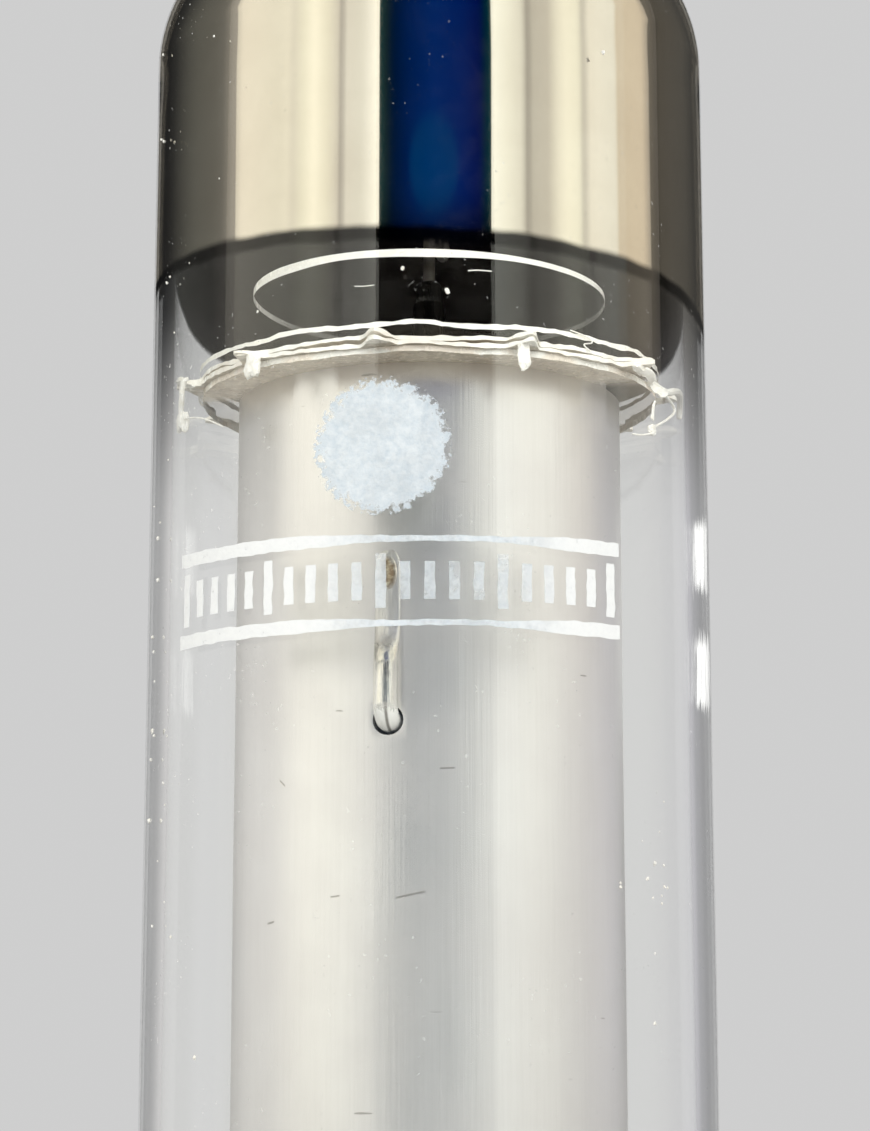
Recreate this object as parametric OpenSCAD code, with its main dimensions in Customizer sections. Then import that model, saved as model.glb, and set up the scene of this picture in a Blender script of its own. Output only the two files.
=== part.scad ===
// Gas-filled voltage regulator tube with a seven pin glass base, standing on its pins.
// Millimetres, +Z up, origin on the tube's axis in the plane of the pin tips.
// The starter wire faces -Y. The drawn-off tip is the highest point.

/* [Glass envelope] */
// Outer diameter of the bulb
bulb_d = 18.5; // [17.5:0.1:23]
// Thickness of the bulb's wall
bulb_wall = 0.7; // [0.5:0.05:0.9]
// Height of the bulb from the seat to the top of its dome
bulb_h = 53.7; // [50:0.5:66]
// Height of the dome above the straight wall
dome_h = 6.6; // [5.4:0.1:8]
// Radius where the dome turns into the wall
dome_corner_r = 5; // [4:0.1:5.2]
// Radius of the rounded lower edge
heel_r = 3; // [2.4:0.1:3.6]
// Height of the closed exhaust tip above the dome
tip_h = 4.9; // [3.5:0.1:6]
// Diameter of the exhaust tip where it leaves the dome
tip_d = 3.4; // [2.8:0.1:4.2]

/* [Glass button and pins] */
// Length of a pin below the seat
pin_l = 6.9; // [5.5:0.1:8.5]
// Diameter of a pin
pin_d = 1.016; // [0.84:0.01:1.25]
// Diameter of the wire that goes on from a pin through the glass
seal_wire_d = 0.7; // [0.55:0.01:0.85]
// Diameter of the circle the pins stand on
pin_circle_d = 9.525; // [8:0.1:11]
// Diameter of the pressed glass button
button_d = 15.2; // [14:0.1:15.8]
// Thickness of the button
button_h = 2.4; // [2:0.1:3]
// Height of the glass boss round each pin
boss_h = 0.9; // [0.6:0.1:1.1]
// Width of the nickel straps inside the tube
strap_w = 0.8; // [0.6:0.05:1]
// Thickness of the straps
strap_t = 0.15; // [0.12:0.01:0.2]

/* [Cathode] */
// Outer diameter of the cathode cylinder
cathode_d = 12.7; // [10.8:0.1:14]
// Height of the cathode cylinder without its ears
cathode_h = 28.8; // [24:0.2:33]
// Height of the cathode's lower end above the seat
cathode_lift = 6.6; // [6:0.1:8]
// Thickness of the nickel sheet
sheet_t = 0.2; // [0.16:0.01:0.25]
// Width of the lapped seam
lap_w = 1.6; // [1.2:0.1:2]
// Width of an ear
ear_w = 1.6; // [1.2:0.1:2]

/* [Starter wire] */
// Diameter of the wire
starter_d = 0.73; // [0.6:0.01:0.88]
// Depth of its hole below the cathode's upper rim
starter_drop = 11.2; // [9.6:0.1:13]
// Diameter of the hole
starter_hole_d = 1.03; // [0.9:0.01:1.24]
// Length of the flattened, welded end
starter_flat_l = 2.9; // [2.4:0.1:3.5]
// Thickness of the flattened end
starter_flat_t = 0.22; // [0.18:0.01:0.3]
// Gap between the wire's inner end and the anode
starter_gap = 1.6; // [1.2:0.1:2.2]

/* [Anode] */
// Diameter of the anode rod
anode_d = 1.05; // [0.9:0.01:1.3]
// Height of its upper end above the cathode's rim
anode_rise = 4.45; // [4.2:0.05:5.4]
// Height of the ceramic sleeve inside the cathode
sleeve_h = 4; // [3:0.1:5]

/* [Mica discs] */
// Thickness of a toothed disc
toothed_t = 0.3; // [0.25:0.01:0.36]
// Thickness of a plain disc
plain_t = 0.2; // [0.16:0.01:0.24]
// Thickness of the thin cover and shield discs
thin_t = 0.15; // [0.12:0.01:0.18]
// Number of teeth round a toothed disc
teeth = 11; // [9:1:13]
// Width of a tooth
tooth_w = 1.2; // [1:0.05:1.5]
// Depth of the gaps between the teeth
tooth_h = 0.8; // [0.65:0.05:0.95]
// Diameter of the plain discs
plain_disc_d = 15.2; // [14.6:0.1:16.4]
// Diameter of the cover disc
cover_disc_d = 15.4; // [14.6:0.1:16.6]
// Diameter of the getter shield disc
shield_disc_d = 11.9; // [10:0.1:14.2]
// Height of the getter shield above the cathode's rim
shield_rise = 3.65; // [3.1:0.05:4]

/* [Getter] */
// Middle diameter of the getter ring
getter_d = 5.4; // [4.6:0.1:6.4]
// Width and height of its channel
getter_w = 1; // [0.8:0.05:1.2]
// Height of the ring above the anode's upper end
getter_rise = 2.6; // [2.3:0.1:3.1]

/* [Hidden] */
$fn = 96;

// Cut depth past a face that a hole leaves through
through = 1;

// Angle, in degrees, of an arc of this length at this radius
function arc_angle(l, r) = l / r * 180 / PI;

// Glass: heights above the pin tips, and radii
seat_z = pin_l;
button_top_z = seat_z + button_h;
dome_top_z = seat_z + bulb_h;
shoulder_z = dome_top_z - dome_h;
tip_top_z = dome_top_z + tip_h;
bulb_r = bulb_d / 2;
bore_r = bulb_r - bulb_wall;

// The dome's crown arc touches the corner arc, so its radius follows from both
crown_r = (pow(bulb_r - dome_corner_r, 2) + pow(dome_h, 2) - pow(dome_corner_r, 2))
    / (2 * (dome_h - dome_corner_r));
crown_z = dome_top_z - crown_r;

// The wall grows thicker from here down to the seal with the button
seal_z = button_top_z + 1.8;

// Glass left round a wire at the end of its boss, and how much wider the boss is at the button
boss_wall = 0.28;
boss_spread = 0.5;

// Seven pins stand one eighth of a turn apart, and the gap between the last and the first faces -Y
pin_step = 45;
first_pin = -45;
function pin_angle(n) = first_pin + pin_step * (n - 1);
pin_chamfer = 0.22;
wire_rise = 0.6;
pin_top_z = button_top_z + boss_h + wire_rise;
seal_wire_r = seal_wire_d / 2;
wired_cathode_pins = [2, 4, 7];

// Cathode
cathode_r = cathode_d / 2;
cathode_z = seat_z + cathode_lift;
rim_z = cathode_z + cathode_h;
starter_z = rim_z - starter_drop;

// One plain and one toothed disc lie on each end, and the ears fold over both
stack_t = plain_t + toothed_t;
ear_slack = 0.1;
ear_reach = 1.45;
slot_slack = 0.08;
ears_top_z = rim_z + stack_t + ear_slack + sheet_t;
ears_foot_z = cathode_z - stack_t - ear_slack - sheet_t;

// Ears stand between the straps that pass the discs
ear_angles = [for (n = [0 : 3]) 67.5 + 90 * n];

// The sheet's inner edge lies at the seam, and the outer layer laps over it
seam_angle = 120;
seam_gap = 0.12;
lap_shift = 8;

// The cover disc lies on the ears, and the shield disc on the anode's shoulder
cover_z = ears_top_z;
shield_z = rim_z + shield_rise;
shield_seat_step = 0.07;

// Anode
anode_r = anode_d / 2;
anode_top_z = rim_z + anode_rise;
anode_foot_gap = 0.4;
anode_foot_z = pin_top_z + anode_foot_gap;
collar_h = 0.7;
collar_t = 0.35;
sleeve_wall = 0.6;
getter_post_r = 0.2;

// A bent part of a ring: r and z give the inner lower edge, w and h its section
module ring_piece(r, z, w, h, angle, centre) {
    rotate([0, 0, centre - angle / 2])
        rotate_extrude(angle = angle)
            translate([r, z]) square([w, h]);
}

module disc(r, z, t) {
    translate([0, 0, z]) cylinder(r = r, h = t);
}

// Round rod from p to q
module rod(p, q, r) {
    v = q - p;
    turn = atan2(v.y, v.x);
    tip = atan2(norm([v.x, v.y]), v.z);
    translate(p) rotate([0, tip, turn]) cylinder(r = r, h = norm(v));
}

// Glass

// Half section of the bulb, drawn smaller by inset, with its rounded heel left out
module bulb_half(inset, from_z) {
    r = bulb_r - inset;
    corner = dome_corner_r - inset;
    crown = crown_r - inset;
    corner_x = r - corner;
    translate([0, from_z]) square([r, shoulder_z - from_z]);
    translate([corner_x, shoulder_z]) intersection() {
        circle(r = corner);
        square(corner);
    }
    intersection() {
        translate([0, crown_z]) circle(r = crown);
        polygon([
            [0, crown_z],
            [3 * corner_x, crown_z + 3 * (shoulder_z - crown_z)],
            [0, crown_z + 3 * crown]
        ]);
    }
}

// Rounded heel of the bulb, between the seat and the straight wall
module heel_half() {
    translate([0, seat_z]) square([bulb_r - heel_r, heel_r]);
    translate([bulb_r - heel_r, seat_z + heel_r]) intersection() {
        circle(r = heel_r);
        translate([0, -heel_r]) square(heel_r);
    }
}

// Drawn-off tip: a concave foot on the dome, a slender neck and a round end
module tip_half() {
    neck_r = tip_d * 0.32;
    end_r = neck_r * 0.7;
    end_z = tip_top_z - end_r;
    foot_r = 1.6;
    foot_sink = 0.35;
    foot_skirt = 0.6;
    foot_z = dome_top_z - foot_sink;
    difference() {
        translate([0, foot_z - foot_skirt]) square([neck_r + foot_r, foot_r + foot_skirt]);
        translate([neck_r + foot_r, foot_z + foot_r]) circle(r = foot_r);
    }
    polygon([
        [0, foot_z],
        [neck_r, foot_z + foot_r],
        [end_r, end_z],
        [0, end_z]
    ]);
    translate([0, end_z]) intersection() {
        circle(r = end_r);
        square(end_r);
    }
}

// Hollow of the bulb: bore, dome, funnel into the tip and the taper down to the seal
module hollow_half() {
    funnel_z = dome_top_z - bulb_wall - 0.3;
    funnel_top_z = dome_top_z + 1.2;
    funnel_r = 0.9;
    funnel_top_r = 0.25;
    bulb_half(bulb_wall, seal_z);
    polygon([
        [0, button_top_z],
        [button_d / 2, button_top_z],
        [bore_r, seal_z],
        [0, seal_z]
    ]);
    polygon([
        [0, funnel_z],
        [funnel_r, funnel_z],
        [funnel_top_r, funnel_top_z],
        [0, funnel_top_z]
    ]);
}

module bulb() {
    color("aliceblue", 0.35)
        rotate_extrude() difference() {
            union() {
                bulb_half(0, seat_z + heel_r);
                heel_half();
                tip_half();
            }
            hollow_half();
            translate([0, seat_z - through]) square([button_d / 2, button_h + through]);
        }
}

module seal_bore(n) {
    rotate([0, 0, pin_angle(n)]) translate([pin_circle_d / 2, 0, 0])
        cylinder(r = seal_wire_r, h = pin_top_z);
}

// Glass that wets a pin above and below the button, widest at the button
module boss(n) {
    narrow_r = pin_d / 2 + boss_wall;
    wide_r = narrow_r + boss_spread;
    rotate([0, 0, pin_angle(n)]) translate([pin_circle_d / 2, 0, 0])
        rotate_extrude() polygon([
            [0, seat_z - boss_h],
            [narrow_r, seat_z - boss_h],
            [wide_r, seat_z],
            [wide_r, button_top_z],
            [narrow_r, button_top_z + boss_h],
            [0, button_top_z + boss_h]
        ]);
}

module button_stem() {
    color("aliceblue", 0.5) difference() {
        union() {
            rotate_extrude() intersection() {
                heel_half();
                translate([0, seat_z]) square([button_d / 2, button_h]);
            }
            for (n = [1 : 7]) boss(n);
        }
        for (n = [1 : 7]) seal_bore(n);
    }
}

// Pin with a chamfered tip, and the thinner wire that seals into the glass and ends inside the tube
module pin(n) {
    pin_r = pin_d / 2;
    glass_z = seat_z - boss_h;
    color("lightsteelblue") rotate([0, 0, pin_angle(n)]) translate([pin_circle_d / 2, 0, 0])
        rotate_extrude() polygon([
            [0, 0],
            [pin_r - pin_chamfer, 0],
            [pin_r, pin_chamfer],
            [pin_r, glass_z],
            [seal_wire_r, glass_z],
            [seal_wire_r, pin_top_z],
            [0, pin_top_z]
        ]);
}

// Cathode

// Rolled sheet with both ends turned in, before the ears are cut free
module cathode_blank() {
    difference() {
        disc(cathode_r, ears_foot_z, ears_top_z - ears_foot_z);
        disc(cathode_r - sheet_t, ears_foot_z + sheet_t, ears_top_z - ears_foot_z - 2 * sheet_t);
        disc(cathode_r - ear_reach, ears_foot_z - through, ears_top_z - ears_foot_z + 2 * through);
    }
}

// Sheet left out between the ears, from this height upwards
module between_ears(z) {
    gap_angle = 360 / len(ear_angles) - arc_angle(ear_w, cathode_r);
    for (centre = ear_angles)
        ring_piece(cathode_r - ear_reach - through, z, ear_reach + 2 * through,
            rim_z - cathode_z - through, gap_angle, centre + 180 / len(ear_angles));
}

// Cylinder with ears folded over the discs, the starter wire's hole and a lapped seam
module cathode_cylinder() {
    color("silver") {
        difference() {
            cathode_blank();
            between_ears(rim_z);
            translate([0, 0, 2 * cathode_z]) mirror([0, 0, 1]) between_ears(cathode_z);
            rotate([90, 0, 0]) translate([0, starter_z, 0])
                cylinder(d = starter_hole_d, h = cathode_r + through);
            ring_piece(cathode_r - sheet_t - through, cathode_z - through, sheet_t / 2 + through,
                cathode_h + 2 * through, arc_angle(seam_gap, cathode_r), seam_angle);
        }
        ring_piece(cathode_r - sheet_t / 2, cathode_z, 1.5 * sheet_t, cathode_h,
            arc_angle(lap_w, cathode_r), seam_angle + lap_shift);
    }
}

// Wire flattened and welded to the cathode, then bent in through its hole towards the anode
module starter_wire() {
    flat_w = starter_d * 1.06;
    flat_rise = 2.3;
    flat_angle = arc_angle(flat_w, cathode_r);
    flat_z = starter_z + flat_rise;
    wire_r = starter_d / 2;
    out_y = -cathode_r - wire_r;
    color("lightgray") {
        ring_piece(cathode_r, flat_z, starter_flat_t, starter_flat_l, flat_angle, -90);
        rod([0, out_y, starter_z], [0, out_y, flat_z], wire_r);
        rod([0, out_y, starter_z], [0, -anode_r - starter_gap, starter_z], wire_r);
        translate([0, out_y, starter_z]) sphere(r = wire_r);
        translate([0, out_y, flat_z]) sphere(r = wire_r);
    }
}

// Ribbon with a foot on its pin's wire and a leg up the outside of the cathode's lower end
module cathode_strap(n) {
    weld_l = 3.5;
    inset = 0.05;
    foot_x = pin_circle_d / 2 - seal_wire_r;
    leg_x = cathode_r - inset;
    color("darkgray") difference() {
        rotate([0, 0, pin_angle(n)]) translate([0, -strap_w / 2, pin_top_z]) {
            translate([foot_x, 0, 0]) cube([cathode_r + strap_t - foot_x, strap_w, strap_t]);
            translate([leg_x, 0, 0]) cube([strap_t + inset, strap_w, cathode_z + weld_l - pin_top_z]);
        }
        disc(cathode_r, ears_foot_z - through, cathode_h);
    }
}

// Anode

// The rod steps down at the shield disc, which rests on the shoulder
module anode_rod() {
    color("dimgray") {
        disc(anode_r, anode_foot_z, shield_z - anode_foot_z);
        disc(anode_r - shield_seat_step, shield_z, anode_top_z - shield_z);
    }
}

module anode_tube(z, r, h) {
    difference() {
        disc(r, z, h);
        disc(anode_r, z - through, h + 2 * through);
    }
}

module anode_sleeve() {
    color("ivory") anode_tube(cathode_z, anode_r + sleeve_wall, sleeve_h);
}

module anode_top_collar() {
    color("silver") anode_tube(cover_z + thin_t, anode_r + collar_t, collar_h);
}

module anode_bottom_collar() {
    color("silver") anode_tube(cathode_z - stack_t - collar_h, anode_r + collar_t, collar_h);
}

// Ribbon with a foot on its pin's wire and a tab up the side of the anode rod
module anode_strap(n) {
    tab_h = 1.2;
    tab_x = 0.8 * anode_r;
    outer_x = pin_circle_d / 2 + seal_wire_r;
    color("darkgray") difference() {
        rotate([0, 0, pin_angle(n)]) translate([0, -strap_w / 2, pin_top_z]) {
            translate([tab_x, 0, 0]) cube([outer_x - tab_x, strap_w, strap_t]);
            translate([tab_x, 0, 0]) cube([anode_r + strap_t - tab_x, strap_w, tab_h]);
        }
        disc(anode_r, pin_top_z - through, tab_h + 2 * through);
    }
}

// Mica

// Disc whose teeth reach the bulb, with one tooth above the starter wire
module toothed_disc(z, t) {
    root_r = bore_r - tooth_h;
    disc(root_r, z, t);
    intersection() {
        disc(bore_r, z, t);
        for (n = [0 : teeth - 1])
            rotate([0, 0, -90 + 360 * n / teeth])
                translate([0, -tooth_w / 2, z]) cube([bore_r + through, tooth_w, t]);
    }
}

module rod_hole(r) {
    disc(r, ears_foot_z - through, anode_top_z - ears_foot_z + 2 * through);
}

// Slots that let the cathode's ears through a disc
module ear_slots(z, t) {
    for (centre = ear_angles)
        ring_piece(cathode_r - sheet_t - slot_slack, z - through, sheet_t + 2 * slot_slack,
            t + 2 * through, arc_angle(ear_w + 2 * slot_slack, cathode_r), centre);
}

// Slots where the cathode's straps pass a lower disc
module strap_slots(z, t) {
    for (n = wired_cathode_pins)
        rotate([0, 0, pin_angle(n)])
            translate([cathode_r - slot_slack, -strap_w / 2 - slot_slack, z - through])
                cube([strap_t + 2 * slot_slack, strap_w + 2 * slot_slack, t + 2 * through]);
}

module upper_plain_mica() {
    color("cornsilk", 0.8) difference() {
        disc(plain_disc_d / 2, rim_z, plain_t);
        rod_hole(anode_r);
        ear_slots(rim_z, plain_t);
    }
}

module upper_toothed_mica() {
    color("cornsilk", 0.8) difference() {
        toothed_disc(rim_z + plain_t, toothed_t);
        rod_hole(anode_r);
        ear_slots(rim_z + plain_t, toothed_t);
    }
}

module upper_cover_mica() {
    color("cornsilk", 0.6) difference() {
        disc(cover_disc_d / 2, cover_z, thin_t);
        rod_hole(anode_r);
    }
}

module getter_shield_mica() {
    color("cornsilk", 0.6) difference() {
        disc(shield_disc_d / 2, shield_z, thin_t);
        rod_hole(anode_r - shield_seat_step);
    }
}

module lower_toothed_mica() {
    z = cathode_z - toothed_t;
    color("cornsilk", 0.8) difference() {
        toothed_disc(z, toothed_t);
        rod_hole(anode_r);
        ear_slots(z, toothed_t);
        strap_slots(z, toothed_t);
    }
}

module lower_plain_mica() {
    z = cathode_z - stack_t;
    color("cornsilk", 0.8) difference() {
        disc(plain_disc_d / 2, z, plain_t);
        rod_hole(anode_r);
        ear_slots(z, plain_t);
        strap_slots(z, plain_t);
    }
}

// Getter

// Ring of channel, open at the top
module getter_ring() {
    groove = getter_w * 0.6;
    color("gray") rotate_extrude() translate([getter_d / 2 - getter_w / 2, anode_top_z + getter_rise])
        difference() {
            square(getter_w);
            translate([(getter_w - groove) / 2, getter_w - groove]) square([groove, getter_w]);
        }
}

// Thin wire from the anode rod's end to the ring
module getter_post() {
    side = getter_d / 2;
    bend_drop = 1;
    bend_z = anode_top_z + getter_rise - bend_drop;
    color("gray") {
        rod([0, 0, anode_top_z], [0, 0, bend_z], getter_post_r);
        rod([0, 0, bend_z], [0, side, bend_z], getter_post_r);
        rod([0, side, bend_z], [0, side, anode_top_z + getter_rise], getter_post_r);
        translate([0, 0, bend_z]) sphere(r = getter_post_r);
        translate([0, side, bend_z]) sphere(r = getter_post_r);
    }
}

bulb();
button_stem();
pin(1);  // pin_1
pin(2);  // pin_2
pin(3);  // pin_3
pin(4);  // pin_4
pin(5);  // pin_5
pin(6);  // pin_6
pin(7);  // pin_7
cathode_cylinder();
starter_wire();
cathode_strap(2);  // cathode_strap_2
cathode_strap(4);  // cathode_strap_4
cathode_strap(7);  // cathode_strap_7
anode_rod();
anode_sleeve();
anode_top_collar();
anode_bottom_collar();
anode_strap(1);  // anode_strap_1
anode_strap(5);  // anode_strap_5
upper_plain_mica();
upper_toothed_mica();
upper_cover_mica();
getter_shield_mica();
lower_toothed_mica();
lower_plain_mica();
getter_ring();
getter_post();
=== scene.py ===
"""Voltage regulator tube: the finishes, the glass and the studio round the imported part."""

import math
import random

import bmesh
import bpy
from mathutils import Matrix, Vector, noise


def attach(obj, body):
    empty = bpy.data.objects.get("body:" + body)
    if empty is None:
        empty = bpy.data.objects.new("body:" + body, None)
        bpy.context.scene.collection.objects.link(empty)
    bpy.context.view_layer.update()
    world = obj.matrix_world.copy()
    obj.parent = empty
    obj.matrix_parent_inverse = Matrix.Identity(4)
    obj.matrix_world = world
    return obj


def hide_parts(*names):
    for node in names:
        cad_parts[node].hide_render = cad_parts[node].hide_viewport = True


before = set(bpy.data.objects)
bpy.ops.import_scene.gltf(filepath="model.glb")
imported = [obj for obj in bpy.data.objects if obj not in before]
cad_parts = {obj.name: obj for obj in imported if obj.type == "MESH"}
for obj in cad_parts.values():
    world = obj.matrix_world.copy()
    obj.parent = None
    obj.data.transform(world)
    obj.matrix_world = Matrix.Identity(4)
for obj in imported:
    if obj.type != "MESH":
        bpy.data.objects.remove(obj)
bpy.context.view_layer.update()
scene = bpy.context.scene

# Millimetres in metres, and steps of a full turn

MM = 0.001
ROUND = 256

# Sizes in millimetres. They follow the part's source, a few of them rounded or a little smaller

BULB_R = 9.25
GLASS_WALL = 0.7
BORE_R = BULB_R - GLASS_WALL
SEAT_Z = 6.9
BUTTON_TOP_Z = SEAT_Z + 2.4
SEAL_Z = BUTTON_TOP_Z + 1.8
HEEL_R = 3.0
SHOULDER_Z = 54.0
CORNER_R = 5.0
CORNER_X = BULB_R - CORNER_R
BORE_CORNER_R = CORNER_R - GLASS_WALL
CROWN_R = 11.44
BORE_CROWN_R = CROWN_R - GLASS_WALL
CROWN_Z = 49.16
CROWN_ANGLE = 48.7
TIP_TOP_Z = 65.5
NECK_R = 1.088
NECK_FILLET = (2.72, 61.87, 1.62)
TIP_END_R = 0.76
BOSS_H = 0.9

PIN_CIRCLE_R = 4.7625
PIN_R = 0.508
SEAL_WIRE_R = 0.35
PIN_TOP_Z = BUTTON_TOP_Z + BOSS_H + 0.6

CATHODE_R = 6.35
CATHODE_Z = SEAT_Z + 6.6
RIM_Z = CATHODE_Z + 28.8
SHEET_T = 0.2
STARTER_Z = RIM_Z - 11.2
STARTER_R = 0.365
HOLE_R = 0.47

ANODE_R = 0.525
ANODE_NECK_R = ANODE_R - 0.07
ANODE_FOOT_Z = PIN_TOP_Z + 0.4
ANODE_TOP_Z = RIM_Z + 4.45
ANODE_NECK_Z = RIM_Z + 3.65
COLLAR_R = ANODE_R + 0.35
COLLAR_H = 0.7
SLEEVE_R = ANODE_R + 0.6
SLEEVE_H = 4.0

STRAP_Z = PIN_TOP_Z + 0.07
STRAP_W = 0.8
STRAP_T = 0.13
STRAP_BEND_R = 0.3
CATHODE_STRAP_X = CATHODE_R + 0.075
ANODE_STRAP_X = ANODE_R + 0.075

PLAIN_DISC_R = 7.6
COVER_DISC_R = 7.7
SHIELD_DISC_R = 5.95
TOOTHED_DISC_R = BORE_R - 0.8
TOOTH_TIP_R = BORE_R - 0.05
PLAIN_T = 0.2
TOOTHED_T = 0.3
COVER_T = 0.15
TOOTHED_Z = RIM_Z + PLAIN_T
COVER_Z = TOOTHED_Z + TOOTHED_T + SHEET_T + 0.1
SHIELD_Z = ANODE_NECK_Z - 0.02
LOWER_TOOTHED_Z = CATHODE_Z - TOOTHED_T
LOWER_PLAIN_Z = LOWER_TOOTHED_Z - PLAIN_T
TEETH = 11
TOOTH_STEP = 360 / TEETH

GETTER_Z = ANODE_TOP_Z + 2.6
GETTER_R = 2.7
POST_ARM_Z = GETTER_Z - 1.0
POST_R = 0.2
POST_BEND_R = 0.35

# What the part's source doesn't have, in millimetres: the starter wire's weld spot

WELD_Z = 35.62
WELD_WIDE = 0.31
WELD_TALL = 0.53

# The seam's row of weld marks. Its angle is in degrees round the sheet from the sheet's first edge

WELD_MARKS = 8
WELD_MARKS_Z = 15.5
WELD_MARKS_STEP = 3.5
WELD_MARKS_ANGLE = 367.5

# The getter's film, where it is clear, black and a full mirror at the front

CLEAR_Z = 45.5
BLACK_Z = 45.82
MIRROR_Z = 46.2

# The print. Its middle is in degrees to the right of the starter wire

PRINT_R = BULB_R + 0.012
PRINT_T = 0.008
PRINT_MIDDLE = 2.2
PRINT_Z = 34.93
BAR_HEIGHTS = (36.2, 33.65)
SPOT_X = 0.36
SPOT_Z = 39.05
SPOT_R = 2.15


# Making pieces

def arc(centre_r, centre_z, radius, start, end, count):
    """Points of an arc in a half section, with its angles in degrees from the outward direction."""
    points = []
    for i in range(count + 1):
        turn = math.radians(start + (end - start) * i / count)
        points.append((centre_r + radius * math.cos(turn), centre_z + radius * math.sin(turn)))
    return points


def spread(start, end, count):
    """Evenly spaced numbers between two values, both ends included."""
    return [start + (end - start) * i / count for i in range(count + 1)]


def smooth_step(value, start, end):
    """Rises softly from 0 at start to 1 at end."""
    share = min(max((value - start) / (end - start), 0.0), 1.0)
    return share * share * (3 - 2 * share)


def away_from_axis(place):
    """The level direction from the tube's axis to this place."""
    return Vector((place.x, place.y, 0)).normalized()


def line(bm, points):
    """Adds points joined by edges, and returns the vertices and the edges."""
    verts = [bm.verts.new(point) for point in points]
    return verts, [bm.edges.new(pair) for pair in zip(verts, verts[1:])]


def turned(section, steps=ROUND, closed=False):
    """A mesh turned about the tube's axis from a half section of (radius, height) points."""
    bm = bmesh.new()
    verts, edges = line(bm, [(r, 0, z) for r, z in section])
    if closed:
        edges.append(bm.edges.new((verts[-1], verts[0])))
    bmesh.ops.spin(bm, geom=verts + edges, cent=(0, 0, 0), axis=(0, 0, 1),
                   angle=2 * math.pi, steps=steps, use_merge=True)
    bmesh.ops.remove_doubles(bm, verts=bm.verts, dist=1e-4)
    bmesh.ops.recalc_face_normals(bm, faces=bm.faces)
    return bm


def extruded(bm, edges):
    """Extrudes edges, and returns the new vertices and the new edges between them."""
    grown = bmesh.ops.extrude_edge_only(bm, edges=edges)["geom"]
    verts = [g for g in grown if isinstance(g, bmesh.types.BMVert)]
    rim = [g for g in grown if isinstance(g, bmesh.types.BMEdge) and all(v in verts for v in g.verts)]
    return verts, rim


def thicken(bm, thickness):
    """Gives an open sheet a thickness, with its faces outwards."""
    bmesh.ops.recalc_face_normals(bm, faces=bm.faces)
    bmesh.ops.solidify(bm, geom=bm.faces, thickness=thickness)
    bmesh.ops.recalc_face_normals(bm, faces=bm.faces)


def joined(meshes):
    """One mesh out of several."""
    whole = bmesh.new()
    for bm in meshes:
        mesh = bpy.data.meshes.new("joined")
        bm.to_mesh(mesh)
        bm.free()
        whole.from_mesh(mesh)
        bpy.data.meshes.remove(mesh)
    return whole


def tube_along(stations, sides=24):
    """A closed rod through stations of (place, direction, half width, half depth, width direction)."""
    bm = bmesh.new()
    last = None
    for place, way, wide, deep, across in stations:
        way = Vector(way).normalized()
        across = Vector(across).normalized()
        third = way.cross(across)
        ring = bmesh.ops.create_circle(bm, cap_ends=False, segments=sides, radius=1)["verts"]
        for v in ring:
            v.co = Vector(place) + across * (v.co.x * wide) + third * (v.co.y * deep)
        edges = list({e for v in ring for e in v.link_edges})
        if last:
            bmesh.ops.bridge_loops(bm, edges=last + edges)
        last = edges
    bmesh.ops.holes_fill(bm, edges=[e for e in bm.edges if e.is_boundary], sides=0)
    bmesh.ops.recalc_face_normals(bm, faces=bm.faces)
    return bm


def round_tube(points, radius, sides=16, across=(1, 0, 0)):
    """A closed round rod through points, with slightly rounded ends."""
    stations = []
    last = len(points) - 1
    for i, point in enumerate(points):
        way = Vector(points[min(i + 1, last)]) - Vector(points[max(i - 1, 0)])
        side = Vector(across) - way.normalized() * Vector(across).dot(way.normalized())
        stations.append((point, way, radius, radius, side))
    first = Vector(points[0]) - Vector(points[1])
    final = Vector(points[last]) - Vector(points[last - 1])
    for end, way, row in ((points[0], first, 0), (points[last], final, len(stations))):
        tip = Vector(end) + way.normalized() * radius * 0.4
        model = stations[0] if row == 0 else stations[-1]
        stations.insert(row, (tip, model[1], radius * 0.6, radius * 0.6, model[4]))
    return tube_along(stations, sides)


def new_object(name, bm, finish):
    """Makes the object of a mesh in millimetres."""
    bmesh.ops.scale(bm, vec=(MM, MM, MM), verts=bm.verts)
    mesh = bpy.data.meshes.new(name)
    bm.to_mesh(mesh)
    bm.free()
    mesh.materials.append(finish)
    obj = bpy.data.objects.new(name, mesh)
    scene.collection.objects.link(obj)
    return obj


def piece(name, bm, finish, nodes=(), sharp=35):
    """Makes a piece that rides on the root and the nodes that it replaces."""
    obj = new_object(name, bm, finish)
    obj.data.shade_smooth()
    obj.data.set_sharp_from_angle(angle=math.radians(sharp))
    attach(obj, "root")
    if nodes:
        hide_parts(*nodes)
    return obj


def finished(node, bm, finish, sharp=35):
    """Makes the piece that takes the place of one node."""
    return piece(f"{node}_finished", bm, finish, (node,), sharp)


def sheet_metal(obj, thickness, offset, corner):
    """Gives a sheet its thickness, and soft edges at corners sharper than this many degrees."""
    wall = obj.modifiers.new("wall", "SOLIDIFY")
    wall.thickness = thickness * MM
    wall.offset = offset
    wall.use_even_offset = True
    edge = obj.modifiers.new("edge", "BEVEL")
    edge.width = 0.03 * MM
    edge.segments = 2
    edge.limit_method = "ANGLE"
    edge.angle_limit = math.radians(corner)


def pin_turn(n):
    """The angle of pin n round the axis."""
    return math.radians(-45 + 45 * (n - 1))


def pin_place(n):
    """Where pin n stands, in millimetres."""
    return Vector((PIN_CIRCLE_R * math.cos(pin_turn(n)), PIN_CIRCLE_R * math.sin(pin_turn(n)), 0))


def on_wall(degrees, z, radius):
    """A place by its angle to the right of the starter wire, its height and its distance from the axis."""
    a = math.radians(degrees - 90)
    return Vector((radius * math.cos(a), radius * math.sin(a), z))


# Materials

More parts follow.
